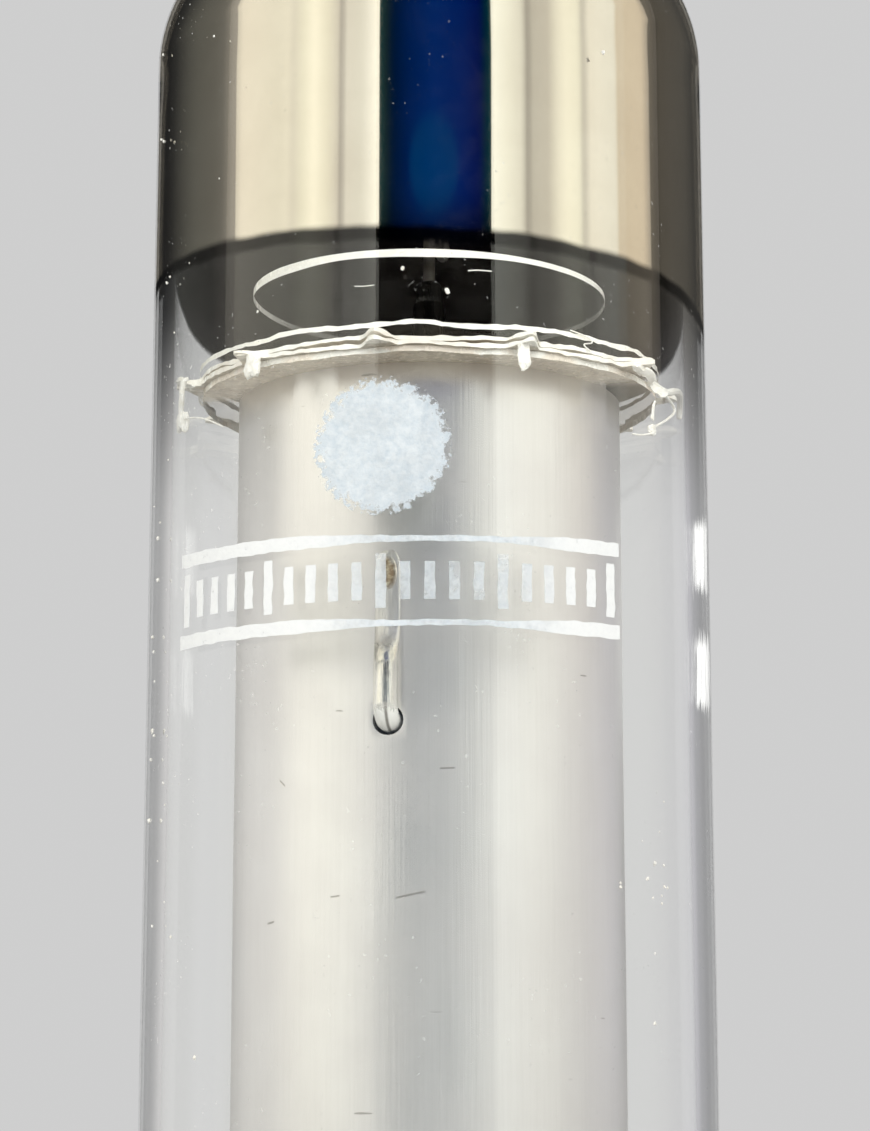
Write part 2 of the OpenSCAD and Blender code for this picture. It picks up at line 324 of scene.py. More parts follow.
class Finish:
    """A material with its Principled shader and short ways to add nodes to it."""

    def __init__(self, name, **sockets):
        self.mat = bpy.data.materials.new(name)
        self.mat.use_nodes = True
        self.tree = self.mat.node_tree
        self.shader = self.tree.nodes["Principled BSDF"]
        self.out = self.tree.nodes["Material Output"]
        self.coords = self.add("TexCoord").outputs
        for socket, value in sockets.items():
            self.put(socket.replace("_", " "), value)

    def add(self, kind, inputs=None, **settings):
        """A node of this kind, with its inputs set or linked."""
        made = self.tree.nodes.new("ShaderNode" + kind)
        for key, value in settings.items():
            setattr(made, key, value)
        for key, value in (inputs or {}).items():
            self.feed(made.inputs[key], value)
        return made

    def feed(self, socket, value):
        """Sets or links one socket."""
        if isinstance(value, bpy.types.NodeSocket):
            self.tree.links.new(value, socket)
        elif isinstance(value, tuple) and len(value) == 3 and socket.type == "RGBA":
            socket.default_value = (*value, 1)
        else:
            socket.default_value = value

    def put(self, name, value):
        """Sets or links a socket of the Principled shader."""
        self.feed(self.shader.inputs[name], value)

    def surface(self, share, first, second):
        """Makes the surface a mix of two shaders, all second where share is 1."""
        mix = self.add("MixShader", {0: share, 1: first.outputs[0], 2: second.outputs[0]})
        self.feed(self.out.inputs["Surface"], mix.outputs[0])

    def place(self, scale=(1, 1, 1), shift=(0, 0, 0)):
        """The object's own coordinates in millimetres, stretched by scale."""
        sizes = tuple(1000 * s for s in scale)
        inputs = {"Vector": self.coords["Object"], "Scale": sizes, "Location": shift}
        return self.add("Mapping", inputs).outputs[0]

    def part(self, axis):
        """The x, y or z coordinate in millimetres."""
        return self.add("SeparateXYZ", {0: self.place()}).outputs[axis]

    def vector(self, kind, a, b=(0, 0, 0)):
        """The number that one step of vector maths gives."""
        return self.add("VectorMath", {0: a, 1: b}, operation=kind).outputs["Value"]

    def noise(self, size, scale=(1, 1, 1), detail=3.0, rough=0.55, distortion=0.0, shift=(0, 0, 0)):
        """Noise with features of about this size in millimetres."""
        inputs = {"Vector": self.place(scale, shift), "Scale": 1 / size, "Detail": detail,
                  "Roughness": rough, "Distortion": distortion}
        return self.add("TexNoise", inputs).outputs["Fac"]

    def ramp(self, value, *stops):
        """A colour or number that changes with value. Each stop is (place, colour)."""
        made = self.add("ValToRGB", {"Fac": value})
        elements = made.color_ramp.elements
        while len(elements) > len(stops):
            elements.remove(elements[-1])
        while len(elements) < len(stops):
            elements.new(1.0)
        for element, (place, colour) in zip(elements, stops):
            element.position = place
            element.color = (*colour, 1)
        return made.outputs["Color"]

    def math(self, kind, a, b=0.5, clamp=False):
        """One step of maths."""
        return self.add("Math", {0: a, 1: b, 2: 0.5}, operation=kind, use_clamp=clamp).outputs[0]

    def times(self, first, *others):
        """A product."""
        for other in others:
            first = self.math("MULTIPLY", first, other)
        return first

    def plus(self, a, b):
        """A sum."""
        return self.math("ADD", a, b)

    def less(self, a, b):
        """A difference."""
        return self.math("SUBTRACT", a, b)

    def larger(self, a, b):
        """The larger of two numbers."""
        return self.math("MAXIMUM", a, b)

    def squares(self, a, b):
        """The sum of two squares."""
        return self.plus(self.math("POWER", a, 2.0), self.math("POWER", b, 2.0))

    def apart(self, a, b):
        """How far two numbers lie apart."""
        return self.math("ABSOLUTE", self.less(a, b))

    def range(self, value, low, high, out_low=0.0, out_high=1.0, smooth=True):
        """Maps value from low..high to out_low..out_high."""
        inputs = {"Value": value, "From Min": low, "From Max": high, "To Min": out_low, "To Max": out_high}
        kind = "SMOOTHSTEP" if smooth else "LINEAR"
        return self.add("MapRange", inputs, interpolation_type=kind).outputs[0]

    def fall(self, value, low, high):
        """Falls softly from 1 at low to 0 at high."""
        return self.range(value, low, high, 1.0, 0.0)

    def band(self, value, rise, fall):
        """1 between two stretches of value, over which it rises from 0 and falls back."""
        return self.times(self.range(value, *rise), self.fall(value, *fall))

    def blend(self, share, a, b):
        """A mix of two colours."""
        made = self.add("Mix", data_type="RGBA", blend_type="MIX")
        for socket, value in ((0, share), (6, a), (7, b)):
            self.feed(made.inputs[socket], value)
        return made.outputs[2]

    def bump(self, height, depth):
        """Adds relief of this depth in millimetres."""
        relief = self.add("Bump", {"Height": height, "Distance": depth * MM, "Strength": 1.0})
        self.put("Normal", relief.outputs[0])


def clear_glass():
    """Clear bulb glass with a faint haze, soft smears, and specks of dust towards the left."""
    f = Finish("clear_glass", Base_Color=(0.985, 0.99, 0.985), IOR=1.5, Roughness=0.0)
    smear = f.noise(5.0, detail=3, distortion=0.6)
    fine = f.noise(0.5, detail=4, shift=(3, 7, 1))
    haze = f.times(f.range(smear, 0.45, 0.8), f.range(fine, 0.4, 0.75, 0.2, 1.0))
    specks = f.range(f.noise(0.16, detail=1, shift=(11, 2, 5)), 0.735, 0.76)
    left = f.times(f.range(f.part(0), -2.0, -7.0, 0.25, 1.0), f.fall(f.part(0), -7.6, -8.0))
    sparse = f.times(f.range(f.noise(3.2, detail=2, shift=(1, 9, 4)), 0.46, 0.6), left)
    dull = f.plus(f.times(haze, 0.008), f.times(specks, f.times(sparse, 0.8)))
    f.put("Transmission Weight", f.math("SUBTRACT", 1.0, dull, clamp=True))
    f.put("Roughness", f.range(smear, 0.5, 0.85, 0.0, 0.03))
    through = f.add("BsdfTransparent", {"Color": (0.97, 0.98, 0.97)})
    f.surface(f.add("LightPath").outputs["Is Shadow Ray"], f.shader, through)
    return f.mat


def getter_film():
    """A mirror from outside, and dark from inside, where it is painted near black without sheen, partly as
    the shade inside the dome.

    Its lower edge fades through black to clear and lies lower at the back, where the film is smoky.
    Light that a matt surface has already sent back passes it.
    """
    f = Finish("getter_film", Specular_IOR_Level=0.0)
    wander = f.range(f.noise(3.0, detail=2, shift=(4, 4, 4)), 0.3, 0.7, -0.09, 0.09, smooth=False)
    slope = f.times(f.part(0), 0.045)
    drop = f.range(f.part(1), -5.0, 4.0, 0.0, 1.1)
    height = f.plus(f.plus(f.part(2), slope), f.plus(wander, drop))
    mirror = f.range(height, MIRROR_Z - 0.27, MIRROR_Z)
    from_middle = f.add("VectorMath", {0: f.coords["Object"], 1: (0, 0, 48 * MM)}, operation="SUBTRACT")
    outward = f.vector("DOT_PRODUCT", f.coords["Normal"], from_middle.outputs[0])
    outside = f.range(outward, -0.0005, 0.0005, smooth=False)
    cloud = f.noise(2.4, detail=4, shift=(7, 1, 2))
    silver = f.ramp(cloud, (0.3, (0.605, 0.565, 0.495)), (0.7, (0.655, 0.62, 0.55)))
    # The film is dark at its lower edge and on its inner face; the inner face's near black without sheen is
    # partly painted shade inside the dome.
    black = f.ramp(cloud, (0.3, (0.0012, 0.001, 0.001)), (0.75, (0.004, 0.003, 0.0025)))
    behind = f.times(f.range(f.part(1), -3.0, 4.0), f.range(height, 46.0, 51.0, 0.75, 0.0))
    smoke = f.times(behind, f.range(f.noise(3.4, detail=4, shift=(3, 9, 5)), 0.36, 0.66))
    silver = f.blend(smoke, silver, (0.27, 0.21, 0.15))
    f.put("Base Color", f.blend(f.times(mirror, outside), black, silver))
    f.put("Metallic", outside)
    f.put("Roughness", f.range(outside, 0.0, 1.0, 0.6, 0.03, smooth=False))
    direct = f.math("LESS_THAN", f.add("LightPath").outputs["Diffuse Depth"], 0.5)
    f.put("Alpha", f.times(f.range(height, CLEAR_Z, BLACK_Z), direct))
    return f.mat


# The longest scratches on the cathode's front: place to the right, height, length, half width and slope
SCRATCHES = (
    (0.69, 25.79, 1.0, 0.05, 0.22),
    (-3.51, 29.33, 0.24, 0.05, -0.9),
    (1.76, 29.61, 0.5, 0.04, 0.05),
    (-1.64, 25.77, 0.34, 0.035, 0.1),
    (-3.90, 25.06, 0.3, 0.04, 0.2),
)


def scratched(f):
    """Where the nickel is scratched: at random in a few patches, and at the places of SCRATCHES."""
    x, y, z = f.part(0), f.part(1), f.part(2)
    rare = f.range(f.noise(5.0, detail=1, shift=(24, 31, 17)), 0.52, 0.6)
    marks = f.times(f.range(f.noise(0.32, (0.25, 0.25, 2.2), detail=1, shift=(8, 2, 3)), 0.775, 0.8), rare)
    front = f.range(y, -3.0, -3.2)
    for place_x, place_z, length, wide, slope in SCRATCHES:
        along = f.fall(f.apart(x, place_x), 0.35 * length, 0.5 * length)
        rise = f.plus(f.times(f.less(x, place_x), slope), place_z)
        across = f.fall(f.apart(z, rise), 0.3 * wide, wide)
        marks = f.larger(marks, f.times(along, across, front))
    return marks


def weld_marks(f):
    """Where the seam at the back is darkened by its row of spot welds."""
    y, z = f.part(1), f.part(2)
    along_sheet = (-0.784, -0.621, 0)
    aside = f.vector("DOT_PRODUCT", f.place(), along_sheet)
    beside = f.math("PINGPONG", f.less(z, WELD_MARKS_Z), WELD_MARKS_STEP / 2)
    spot = f.math("SQRT", f.squares(aside, beside))
    burnt = f.times(f.range(spot, 0.2, 0.55, 0.5, 0.0), f.range(y, 3.0, 3.5))
    return f.times(burnt, f.fall(z, 40.6, 40.9))


def satin_nickel():
    """Rolled nickel sheet: soft bands along the tube, fine drawing lines and scratches, with its inside
    painted black as shade.
    """
    f = Finish("satin_nickel")
    bands = f.noise(2.6, (1, 1, 0.03), detail=3, shift=(2, 5, 0))
    lines = f.noise(0.09, (1, 1, 0.015), detail=4, shift=(9, 3, 0))
    cloud = f.noise(3.5, detail=4, shift=(6, 6, 6))
    scratches = scratched(f)
    colour = f.ramp(bands, (0.3, (0.815, 0.80, 0.80)), (0.7, (0.90, 0.89, 0.89)))
    colour = f.blend(f.range(cloud, 0.3, 0.75, 0.0, 0.5), colour, (0.80, 0.775, 0.785))
    colour = f.blend(f.times(f.range(lines, 0.35, 0.75), 0.12), colour, (0.62, 0.61, 0.60))
    colour = f.blend(f.times(scratches, 0.6), colour, (0.25, 0.22, 0.21))
    colour = f.blend(weld_marks(f), colour, (0.30, 0.24, 0.20))
    outward = f.vector("DOT_PRODUCT", f.coords["Normal"], f.place((1, 1, 0)))
    wall = f.band(f.part(2), (CATHODE_Z - 0.3, CATHODE_Z + 0.1), (RIM_Z - 0.1, RIM_Z + 0.2))
    # Painted shade: the inner face of the wall is painted near black, not a metal and fully rough, as the
    # shade inside the closed cathode.
    painted_shade_inside = f.times(f.fall(outward, 5.2, 5.9), wall)
    f.put("Base Color", f.blend(painted_shade_inside, colour, (0.006, 0.005, 0.005)))
    f.put("Metallic", f.less(1.0, painted_shade_inside))
    rough = f.plus(f.range(bands, 0.3, 0.7, 0.33, 0.40), f.range(cloud, 0.3, 0.75, -0.02, 0.05))
    f.put("Roughness", f.larger(rough, painted_shade_inside))
    f.bump(f.plus(f.times(lines, 0.5), f.times(scratches, -0.6)), 0.012)
    return f.mat


def bright_wire():
    """Drawn nickel wire: bright where round, satin where flattened, golden brown at its weld.

    At the hole its bend is painted pale and made less of a metal, as a painted highlight, with a thin
    painted dark reflection along it.
    """
    f = Finish("bright_wire", Metallic=1.0)
    x, z = f.part(0), f.part(2)
    lines = f.noise(0.08, (1, 1, 0.08), detail=3)
    speck = f.noise(0.16, detail=4, shift=(2, 2, 2))
    across = f.math("DIVIDE", x, WELD_WIDE)
    along = f.math("DIVIDE", f.less(z, WELD_Z), WELD_TALL)
    off = f.plus(f.math("SQRT", f.squares(across, along)), f.times(speck, 0.5))
    flat = f.range(z, STARTER_Z + 2.0, STARTER_Z + 2.5)
    bend_highlight = f.range(z, STARTER_Z + 0.6, STARTER_Z + 0.1)
    colour = f.ramp(lines, (0.3, (0.80, 0.775, 0.72)), (0.7, (0.90, 0.88, 0.83)))
    satin = f.ramp(lines, (0.3, (0.78, 0.765, 0.755)), (0.7, (0.86, 0.85, 0.84)))
    gold = f.ramp(speck, (0.35, (0.30, 0.21, 0.13)), (0.5, (0.52, 0.42, 0.29)), (0.62, (0.86, 0.78, 0.60)))
    # Painted highlight: the bend into the hole is painted near white, and made little metal below so that
    # the fill lamp lights it.
    colour = f.blend(bend_highlight, colour, (0.99, 0.985, 0.96))
    colour = f.blend(flat, colour, satin)
    f.put("Metallic", f.range(z, STARTER_Z + 0.5, STARTER_Z, 1.0, 0.1))
    # Painted reflection: a thin dark line along the bend, between its two bright sides.
    dark_reflection_line = f.range(f.apart(x, 0.075), 0.015, 0.07, 0.85, 0.0)
    colour = f.blend(f.times(dark_reflection_line, bend_highlight), colour, (0.16, 0.14, 0.12))
    f.put("Base Color", f.blend(f.range(off, 0.9, 1.35, 0.95, 0.0), colour, gold))
    rough = f.plus(f.range(flat, 0.0, 1.0, 0.16, 0.36, smooth=False),
                   f.range(z, STARTER_Z + 0.6, STARTER_Z + 0.1, 0.0, 0.14))
    f.put("Roughness", f.plus(rough, f.range(lines, 0.3, 0.7, -0.03, 0.06)))
    f.bump(f.blend(f.fall(off, 0.9, 1.3), lines, speck), 0.02)
    return f.mat


def strap_nickel():
    """Dull nickel ribbon and small turned fittings."""
    f = Finish("strap_nickel", Metallic=1.0)
    cloud = f.noise(0.8, detail=4)
    grain = f.noise(0.07, (1, 1, 0.3), detail=3, shift=(5, 5, 5))
    f.put("Base Color", f.ramp(cloud, (0.3, (0.50, 0.48, 0.45)), (0.7, (0.62, 0.59, 0.55))))
    f.put("Roughness", f.range(grain, 0.3, 0.7, 0.28, 0.42))
    f.bump(grain, 0.008)
    return f.mat


def pin_metal():
    """Pins with a soft tarnish, and the copper-red wire that seals through the glass."""
    f = Finish("pin_metal", Metallic=1.0)
    stain = f.noise(0.9, detail=5, shift=(3, 1, 8))
    grain = f.noise(0.06, (1, 1, 0.12), detail=3)
    clean = f.ramp(stain, (0.3, (0.56, 0.54, 0.50)), (0.55, (0.70, 0.68, 0.64)), (0.8, (0.74, 0.72, 0.68)))
    sealed = f.ramp(stain, (0.3, (0.30, 0.10, 0.055)), (0.7, (0.52, 0.21, 0.12)))
    red = f.band(f.part(2), (SEAT_Z - 1.0, SEAT_Z - 0.7), (BUTTON_TOP_Z + 0.6, BUTTON_TOP_Z + 1.0))
    f.put("Base Color", f.blend(red, clean, sealed))
    f.put("Roughness", f.plus(f.range(stain, 0.3, 0.75, 0.34, 0.2), f.range(grain, 0.3, 0.7, -0.03, 0.05)))
    f.bump(grain, 0.006)
    return f.mat


def rod_metal():
    """Anode rod, painted almost black as the shade in the middle of the tube."""
    f = Finish("rod_metal", Metallic=1.0)
    cloud = f.noise(0.7, (1, 1, 0.3), detail=4)
    # Painted shade: the rod's colour is almost black.
    f.put("Base Color", f.ramp(cloud, (0.3, (0.03, 0.028, 0.027)), (0.75, (0.08, 0.076, 0.073))))
    f.put("Roughness", f.range(cloud, 0.3, 0.75, 0.22, 0.4))
    f.bump(f.noise(0.08, (1, 1, 0.05), detail=2), 0.006)
    return f.mat


def ceramic():
    """White fired ceramic."""
    f = Finish("ceramic")
    cloud = f.noise(0.9, detail=4)
    f.put("Base Color", f.ramp(cloud, (0.3, (0.80, 0.78, 0.72)), (0.7, (0.88, 0.86, 0.81))))
    f.put("Roughness", f.range(cloud, 0.3, 0.7, 0.42, 0.6))
    f.bump(f.noise(0.12, detail=3), 0.01)
    return f.mat


def mica(name, body, veil, rim_tan=0.0, shaded_back_edge=1.0, front_veil=0.0, ior=1.58):
    """Mica sheet with bright cream cut edges and tooth ends, and cloudy see-through faces.

    Veil is how solid the faces are, from thin to thick cloud, and front_veil how solid they are in front.
    Rim_tan is how brown the edges are in patches. The last but one argument is how solid the edges are at
    the back: below 1 it makes the far rim see-through, as painted shade.
    """
    f = Finish(name, IOR=ior)
    y = f.part(1)
    up = f.math("ABSOLUTE", f.add("SeparateXYZ", {0: f.coords["Normal"]}).outputs[2])
    reach = f.vector("LENGTH", f.place((1, 1, 0)))
    edge = f.times(f.range(up, 0.75, 0.4), f.range(reach, 1.0, 2.0))
    cloud = f.noise(1.3, detail=5, distortion=0.8, shift=(5, 3, 1))
    flake = f.noise(0.35, detail=3, shift=(1, 8, 6))
    colour = f.ramp(cloud, (0.3, body), (0.7, tuple(min(1, 1.12 * c) for c in body)))
    tan = f.range(f.noise(1.1, detail=3, shift=(8, 8, 2)), 0.45, 0.6, 0.0, rim_tan)
    rim = f.blend(tan, (0.97, 0.955, 0.90), (0.74, 0.60, 0.46))
    tip = f.range(reach, TOOTHED_DISC_R + 0.05, TOOTHED_DISC_R + 0.3, 0.0, 0.95)
    f.put("Base Color", f.blend(f.larger(edge, tip), colour, rim))
    f.put("Roughness", f.range(flake, 0.3, 0.7, 0.16, 0.34))
    # Painted shade: the edges fade towards see-through at the back, so the far rim looks dim.
    solid = f.times(edge, f.range(y, -2.0, 3.0, 1.0, shaded_back_edge))
    dense = f.times(f.range(y, -1.6, -3.4, 0.0, front_veil), f.range(cloud, 0.3, 0.7, 0.75, 1.0))
    faces = f.larger(f.range(cloud, 0.25, 0.8, *veil), dense)
    f.put("Alpha", f.larger(faces, f.larger(solid, tip)))
    f.bump(flake, 0.01)
    return f.mat


def frayed_mica():
    """Loose white mica fibres and chips."""
    f = Finish("frayed_mica")
    fleck = f.noise(0.12, detail=4)
    f.put("Base Color", f.ramp(fleck, (0.3, (0.90, 0.87, 0.79)), (0.6, (0.98, 0.97, 0.94))))
    f.put("Alpha", f.range(f.noise(0.2, detail=3, shift=(3, 3, 3)), 0.28, 0.42, 0.85, 1.0))
    f.put("Roughness", f.range(fleck, 0.3, 0.7, 0.3, 0.6))
    f.bump(fleck, 0.02)
    return f.mat


def worn_ink():
    """White print, rubbed thin in the middle; the middle and the spot are painted bluish as a painted
    reflection of the blue card. The spot is mottled and ragged at its edge.
    """
    f = Finish("worn_ink")
    x, z = f.part(0), f.part(2)
    mottle = f.noise(0.22, detail=5, rough=0.65, shift=(6, 2, 9))
    patch = f.noise(0.75, detail=4, rough=0.6, shift=(12, 5, 7))
    in_spot = f.range(z, BAR_HEIGHTS[0] + 0.3, BAR_HEIGHTS[0] + 0.7)
    middle = f.band(x, (-2.2, 0.9), (3.6, 6.0))
    in_strokes = f.fall(f.apart(z, PRINT_Z), 0.9, 1.05)
    white = f.ramp(mottle, (0.3, (0.90, 0.92, 0.95)), (0.6, (0.95, 0.97, 0.99)))
    blue_reflection_tint = f.ramp(mottle, (0.3, (0.66, 0.75, 0.84)), (0.62, (0.84, 0.90, 0.96)))
    # Painted reflection: the middle of the print and the spot are tinted blue, as the blue card's
    # reflection.
    f.put("Base Color", f.blend(f.larger(f.times(middle, 0.8), in_spot), white, blue_reflection_tint))
    solid = f.range(mottle, 0.26, 0.36, 0.6, 1.0)
    thin = f.range(patch, 0.36, 0.62, f.range(in_strokes, 0.0, 1.0, 0.5, 0.16),
                   f.range(in_strokes, 0.0, 1.0, 0.95, 0.5))
    from_centre = f.vector("DISTANCE", f.place((1, 0, 1)), (SPOT_X, 0, SPOT_Z))
    ragged = f.plus(from_centre, f.range(mottle, 0.3, 0.7, 0.0, 0.5))
    soft = f.times(f.range(patch, 0.3, 0.65, 0.68, 0.92), f.fall(ragged, SPOT_R - 0.03, SPOT_R + 0.19))
    f.put("Alpha", f.blend(in_spot, f.blend(middle, solid, thin), soft))
    f.put("Roughness", f.range(mottle, 0.3, 0.7, 0.45, 0.7))
    f.bump(mottle, 0.02)
    return f.mat


def getter_steel():
    """Getter channel, brown and grey with heat."""
    f = Finish("getter_steel", Metallic=1.0)
    heat = f.noise(0.7, detail=5)
    f.put("Base Color", f.ramp(heat, (0.3, (0.22, 0.19, 0.17)), (0.55, (0.40, 0.37, 0.34)),
                               (0.75, (0.30, 0.26, 0.30))))
    f.put("Roughness", f.range(heat, 0.3, 0.7, 0.32, 0.5))
    f.bump(f.noise(0.1, detail=3), 0.01)
    return f.mat


GLASS = clear_glass()
FILM = getter_film()
NICKEL = satin_nickel()
WIRE = bright_wire()
STRAP = strap_nickel()
PIN = pin_metal()
ROD = rod_metal()
CERAMIC = ceramic()
MICA = mica("mica", (0.80, 0.73, 0.62), (0.03, 0.14), rim_tan=0.25, front_veil=0.75)
PLAIN_MICA = mica("plain_mica", (0.94, 0.79, 0.62), (0.03, 0.12), rim_tan=0.6, front_veil=0.92, ior=2.3)
COVER_MICA = mica("cover_mica", (0.45, 0.43, 0.39), (0.01, 0.07))
SHIELD_MICA = mica("shield_mica", (0.40, 0.39, 0.37), (0.0, 0.05), shaded_back_edge=0.14)
FRAYED = frayed_mica()
INK = worn_ink()
GETTER = getter_steel()


# Camera

EYE = (17.106, -86.953, 20.795)
LOOK = (-0.187676, 0.965517, 0.180519)
LENS = 86.4


def add_camera():
    """A close camera, a little to the right of the starter wire and low down, looking slightly up."""
    data = bpy.data.cameras.new("camera")
    data.sensor_width = 36
    data.lens = LENS
    data.clip_start = 0.01
    data.clip_end = 20
    camera = bpy.data.objects.new("camera", data)
    camera.location = Vector(EYE) * MM
    camera.rotation_euler = Vector(LOOK).to_track_quat("-Z", "Y").to_euler()
    scene.collection.objects.link(camera)
    scene.camera = camera


# Studio: sizes in millimetres, bearings in degrees to the right of the camera's side

PALE = 0.62
STAGE_R = 800
STAGE_FOOT_Z = -30
STAGE_TOP_Z = 1150
FLOOR_R = 630
FRONT = -79.0
LEFT_FLAG_END = -160
LEFT_END = -90.5
CARD_LEFT = -21
CARD_RIGHT = 26.4
RIGHT_END = 109
RIGHT_FLAG_END = 163
FILL_PLACE = (300, -1000, 550)
FILL_AIM = (0, 0, 35)
FILL_SIZE = 800
FILL_POWER = 5.6

# Heights between which the low colours turn into the high ones
WARM_TURN = (200, 270)
DARK_TURN = (190, 275)
BLUE_FOOT = (130, 215)
BLUE_TURN = (285, 312)

# The blue card's lighter patch: its bearing, height, half width in degrees and half height
PATCH = (2.0, 318.0, 10.0, 17.0)

# The two windows in the right flag: where their sides begin and end, in bearings and heights
WINDOW_SIDES = ((143, 147), (158, 162))
LOWER_WINDOW = ((134, 137), (154, 158))
UPPER_WINDOW = ((173, 176), (194, 198))

# Colours of the lights, as (bearing, colour)
WARM_HIGH = (
    (-90.5, (0.98, 0.92, 0.79)), (-87, (1.33, 1.25, 1.07)), (-67, (1.24, 1.19, 1.01)),
    (-63, (1.32, 1.27, 1.08)), (-60, (1.16, 1.11, 0.96)), (-55, (1.36, 1.33, 1.10)),
    (-50, (1.62, 1.57, 1.32)), (-44, (1.34, 1.30, 1.08)), (-39.5, (1.12, 1.07, 0.94)),
    (-37.2, (0.50, 0.475, 0.43)), (-36, (1.18, 1.14, 1.02)), (-29, (1.20, 1.18, 1.05)),
    (-26, (1.36, 1.34, 1.20)), (-22, (1.70, 1.67, 1.49)), (27, (1.60, 1.62, 1.46)),
    (33, (1.44, 1.44, 1.26)), (40, (1.18, 1.16, 1.02)), (42.5, (0.52, 0.49, 0.43)),
    (45, (0.86, 0.83, 0.73)), (52, (0.92, 0.88, 0.77)), (57, (1.34, 1.31, 1.12)),
    (61, (1.50, 1.47, 1.24)), (67, (1.40, 1.38, 1.16)), (69.5, (0.82, 0.785, 0.70)),
    (73, (1.36, 1.32, 1.16)), (87, (1.26, 1.24, 1.10)), (88, (1.0, 0.88, 0.69)),
    (104, (1.02, 0.89, 0.70)), (109, (0.52, 0.47, 0.40)),
)
WARM_LOW = (
    (-92, (1.10, 1.08, 1.02)), (-78, (1.30, 1.27, 1.14)), (-60, (1.40, 1.38, 1.24)),
    (-45, (1.24, 1.22, 1.11)), (-30, (0.92, 0.91, 0.85)), (-21, (0.72, 0.72, 0.695)),
    (27, (1.13, 1.16, 1.10)), (45, (1.05, 1.06, 1.0)), (66, (0.98, 0.97, 0.90)),
    (87, (0.78, 0.765, 0.745)), (109, (0.615, 0.59, 0.615)),
)
BLUE_HIGH = (
    (-21, (0.02, 0.07, 0.075)), (-18, (0.01, 0.027, 0.035)), (-15, (0.0, 0.011, 0.055)),
    (-8, (0.0, 0.018, 0.13)), (2, (0.0, 0.026, 0.20)), (14, (0.0, 0.017, 0.17)),
    (21, (0.0, 0.006, 0.11)), (24, (0.0, 0.022, 0.05)), (26, (0.0, 0.05, 0.065)),
)
DARK_HIGH = (
    (-160, (0.015, 0.015, 0.015)), (-140, (0.03, 0.03, 0.03)), (-118, (0.15, 0.15, 0.135)),
    (-99, (0.20, 0.195, 0.175)), (-92, (0.46, 0.43, 0.38)), (109, (0.12, 0.11, 0.09)),
    (113, (0.088, 0.08, 0.068)), (118, (0.135, 0.125, 0.11)), (140, (0.12, 0.115, 0.105)),
    (160, (0.03, 0.03, 0.03)),
)
DARK_LOW = (
    (-160, (0.34, 0.34, 0.34)), (-146, (0.40, 0.40, 0.40)), (-138, (0.61, 0.60, 0.595)),
    (-120, (0.86, 0.85, 0.83)), (-92, (0.97, 0.955, 0.92)), (109, (0.66, 0.64, 0.67)),
    (132, (0.68, 0.67, 0.705)), (142, (0.36, 0.36, 0.37)), (163, (0.33, 0.33, 0.33)),
)


def screen(name, start, end, mat):
    """A curved screen round the tube, between two bearings. The camera doesn't see it."""
    bm = bmesh.new()
    turn = math.radians(FRONT + start)
    x, y = STAGE_R * math.cos(turn), STAGE_R * math.sin(turn)
    verts, edges = line(bm, [(x, y, z) for z in spread(STAGE_FOOT_Z, STAGE_TOP_Z, 4)])
    bmesh.ops.spin(bm, geom=verts + edges, cent=(0, 0, 0), axis=(0, 0, 1),
                   angle=math.radians(end - start), steps=24)
    obj = new_object(name, bm, mat)
    obj.visible_camera = False
    obj.visible_shadow = False
    return obj


def screen_material(name, light, sampled=True):
    """An even light that isn't seen straight through clear glass. light(f) gives its colour."""
    f = Finish(name)
    f.tree.nodes.remove(f.shader)
    path = f.add("LightPath").outputs
    mirrored = f.math("GREATER_THAN", path["Glossy Depth"], 0.5)
    shown = f.larger(f.less(1.0, path["Is Transmission Ray"]), mirrored)
    glow = f.add("Emission", {"Color": light(f), "Strength": 1.0})
    f.surface(shown, f.add("BsdfTransparent"), glow)
    if not sampled:
        f.mat.cycles.emission_sampling = "NONE"
    return f.mat


def bearing(f):
    """The bearing of a place on a screen, seen from the tube."""
    rotation = (0, 0, math.radians(-90 - FRONT))
    from_front = f.add("Mapping", {"Vector": f.coords["Object"], "Rotation": rotation})
    parts = f.add("SeparateXYZ", {0: from_front.outputs[0]}).outputs
    return f.times(f.math("ARCTAN2", parts[0], f.times(parts[1], -1.0)), math.degrees(1))


def by_bearing(f, stops):
    """A colour that changes with the bearing."""
    share = f.range(bearing(f), -180, 180, smooth=False)
    return f.ramp(share, *[((degrees + 180) / 360, colour) for degrees, colour in stops])


def warm_light(f):
    """Warm white in broad soft strips, beige at the far right, and even and cooler low down."""
    return f.blend(f.range(f.part(2), *WARM_TURN), by_bearing(f, WARM_LOW), by_bearing(f, WARM_HIGH))


def blue_light(f):
    """Pale bluish low down, black above, then deep blue with a softly lighter patch."""
    z = f.part(2)
    patch_bearing, patch_z, patch_wide, patch_tall = PATCH
    across = f.math("DIVIDE", f.less(bearing(f), patch_bearing), patch_wide)
    along = f.math("DIVIDE", f.less(z, patch_z), patch_tall)
    patch = f.range(f.squares(across, along), 0.8, 1.3, 0.5, 0.0)
    blue = f.blend(patch, by_bearing(f, BLUE_HIGH), (0.0, 0.07, 0.24))
    upper = f.blend(f.range(z, *BLUE_TURN), (0.0, 0.0, 0.001), blue)
    return f.blend(f.range(z, *BLUE_FOOT), (0.205, 0.24, 0.27), upper)


def dark_light(f):
    """Dark towards the back, greyer low down, with two small bright windows at the far right."""
    z = f.part(2)
    colour = f.blend(f.range(z, *DARK_TURN), by_bearing(f, DARK_LOW), by_bearing(f, DARK_HIGH))
    wobble = f.range(f.noise(22, detail=3), 0.3, 0.7, -4.0, 4.0, smooth=False)
    rise = f.plus(z, wobble)
    across = f.band(f.plus(bearing(f), wobble), *WINDOW_SIDES)
    windows = f.times(across, f.plus(f.band(rise, *LOWER_WINDOW), f.band(rise, *UPPER_WINDOW)))
    return f.blend(windows, colour, (1.45, 1.45, 1.42))


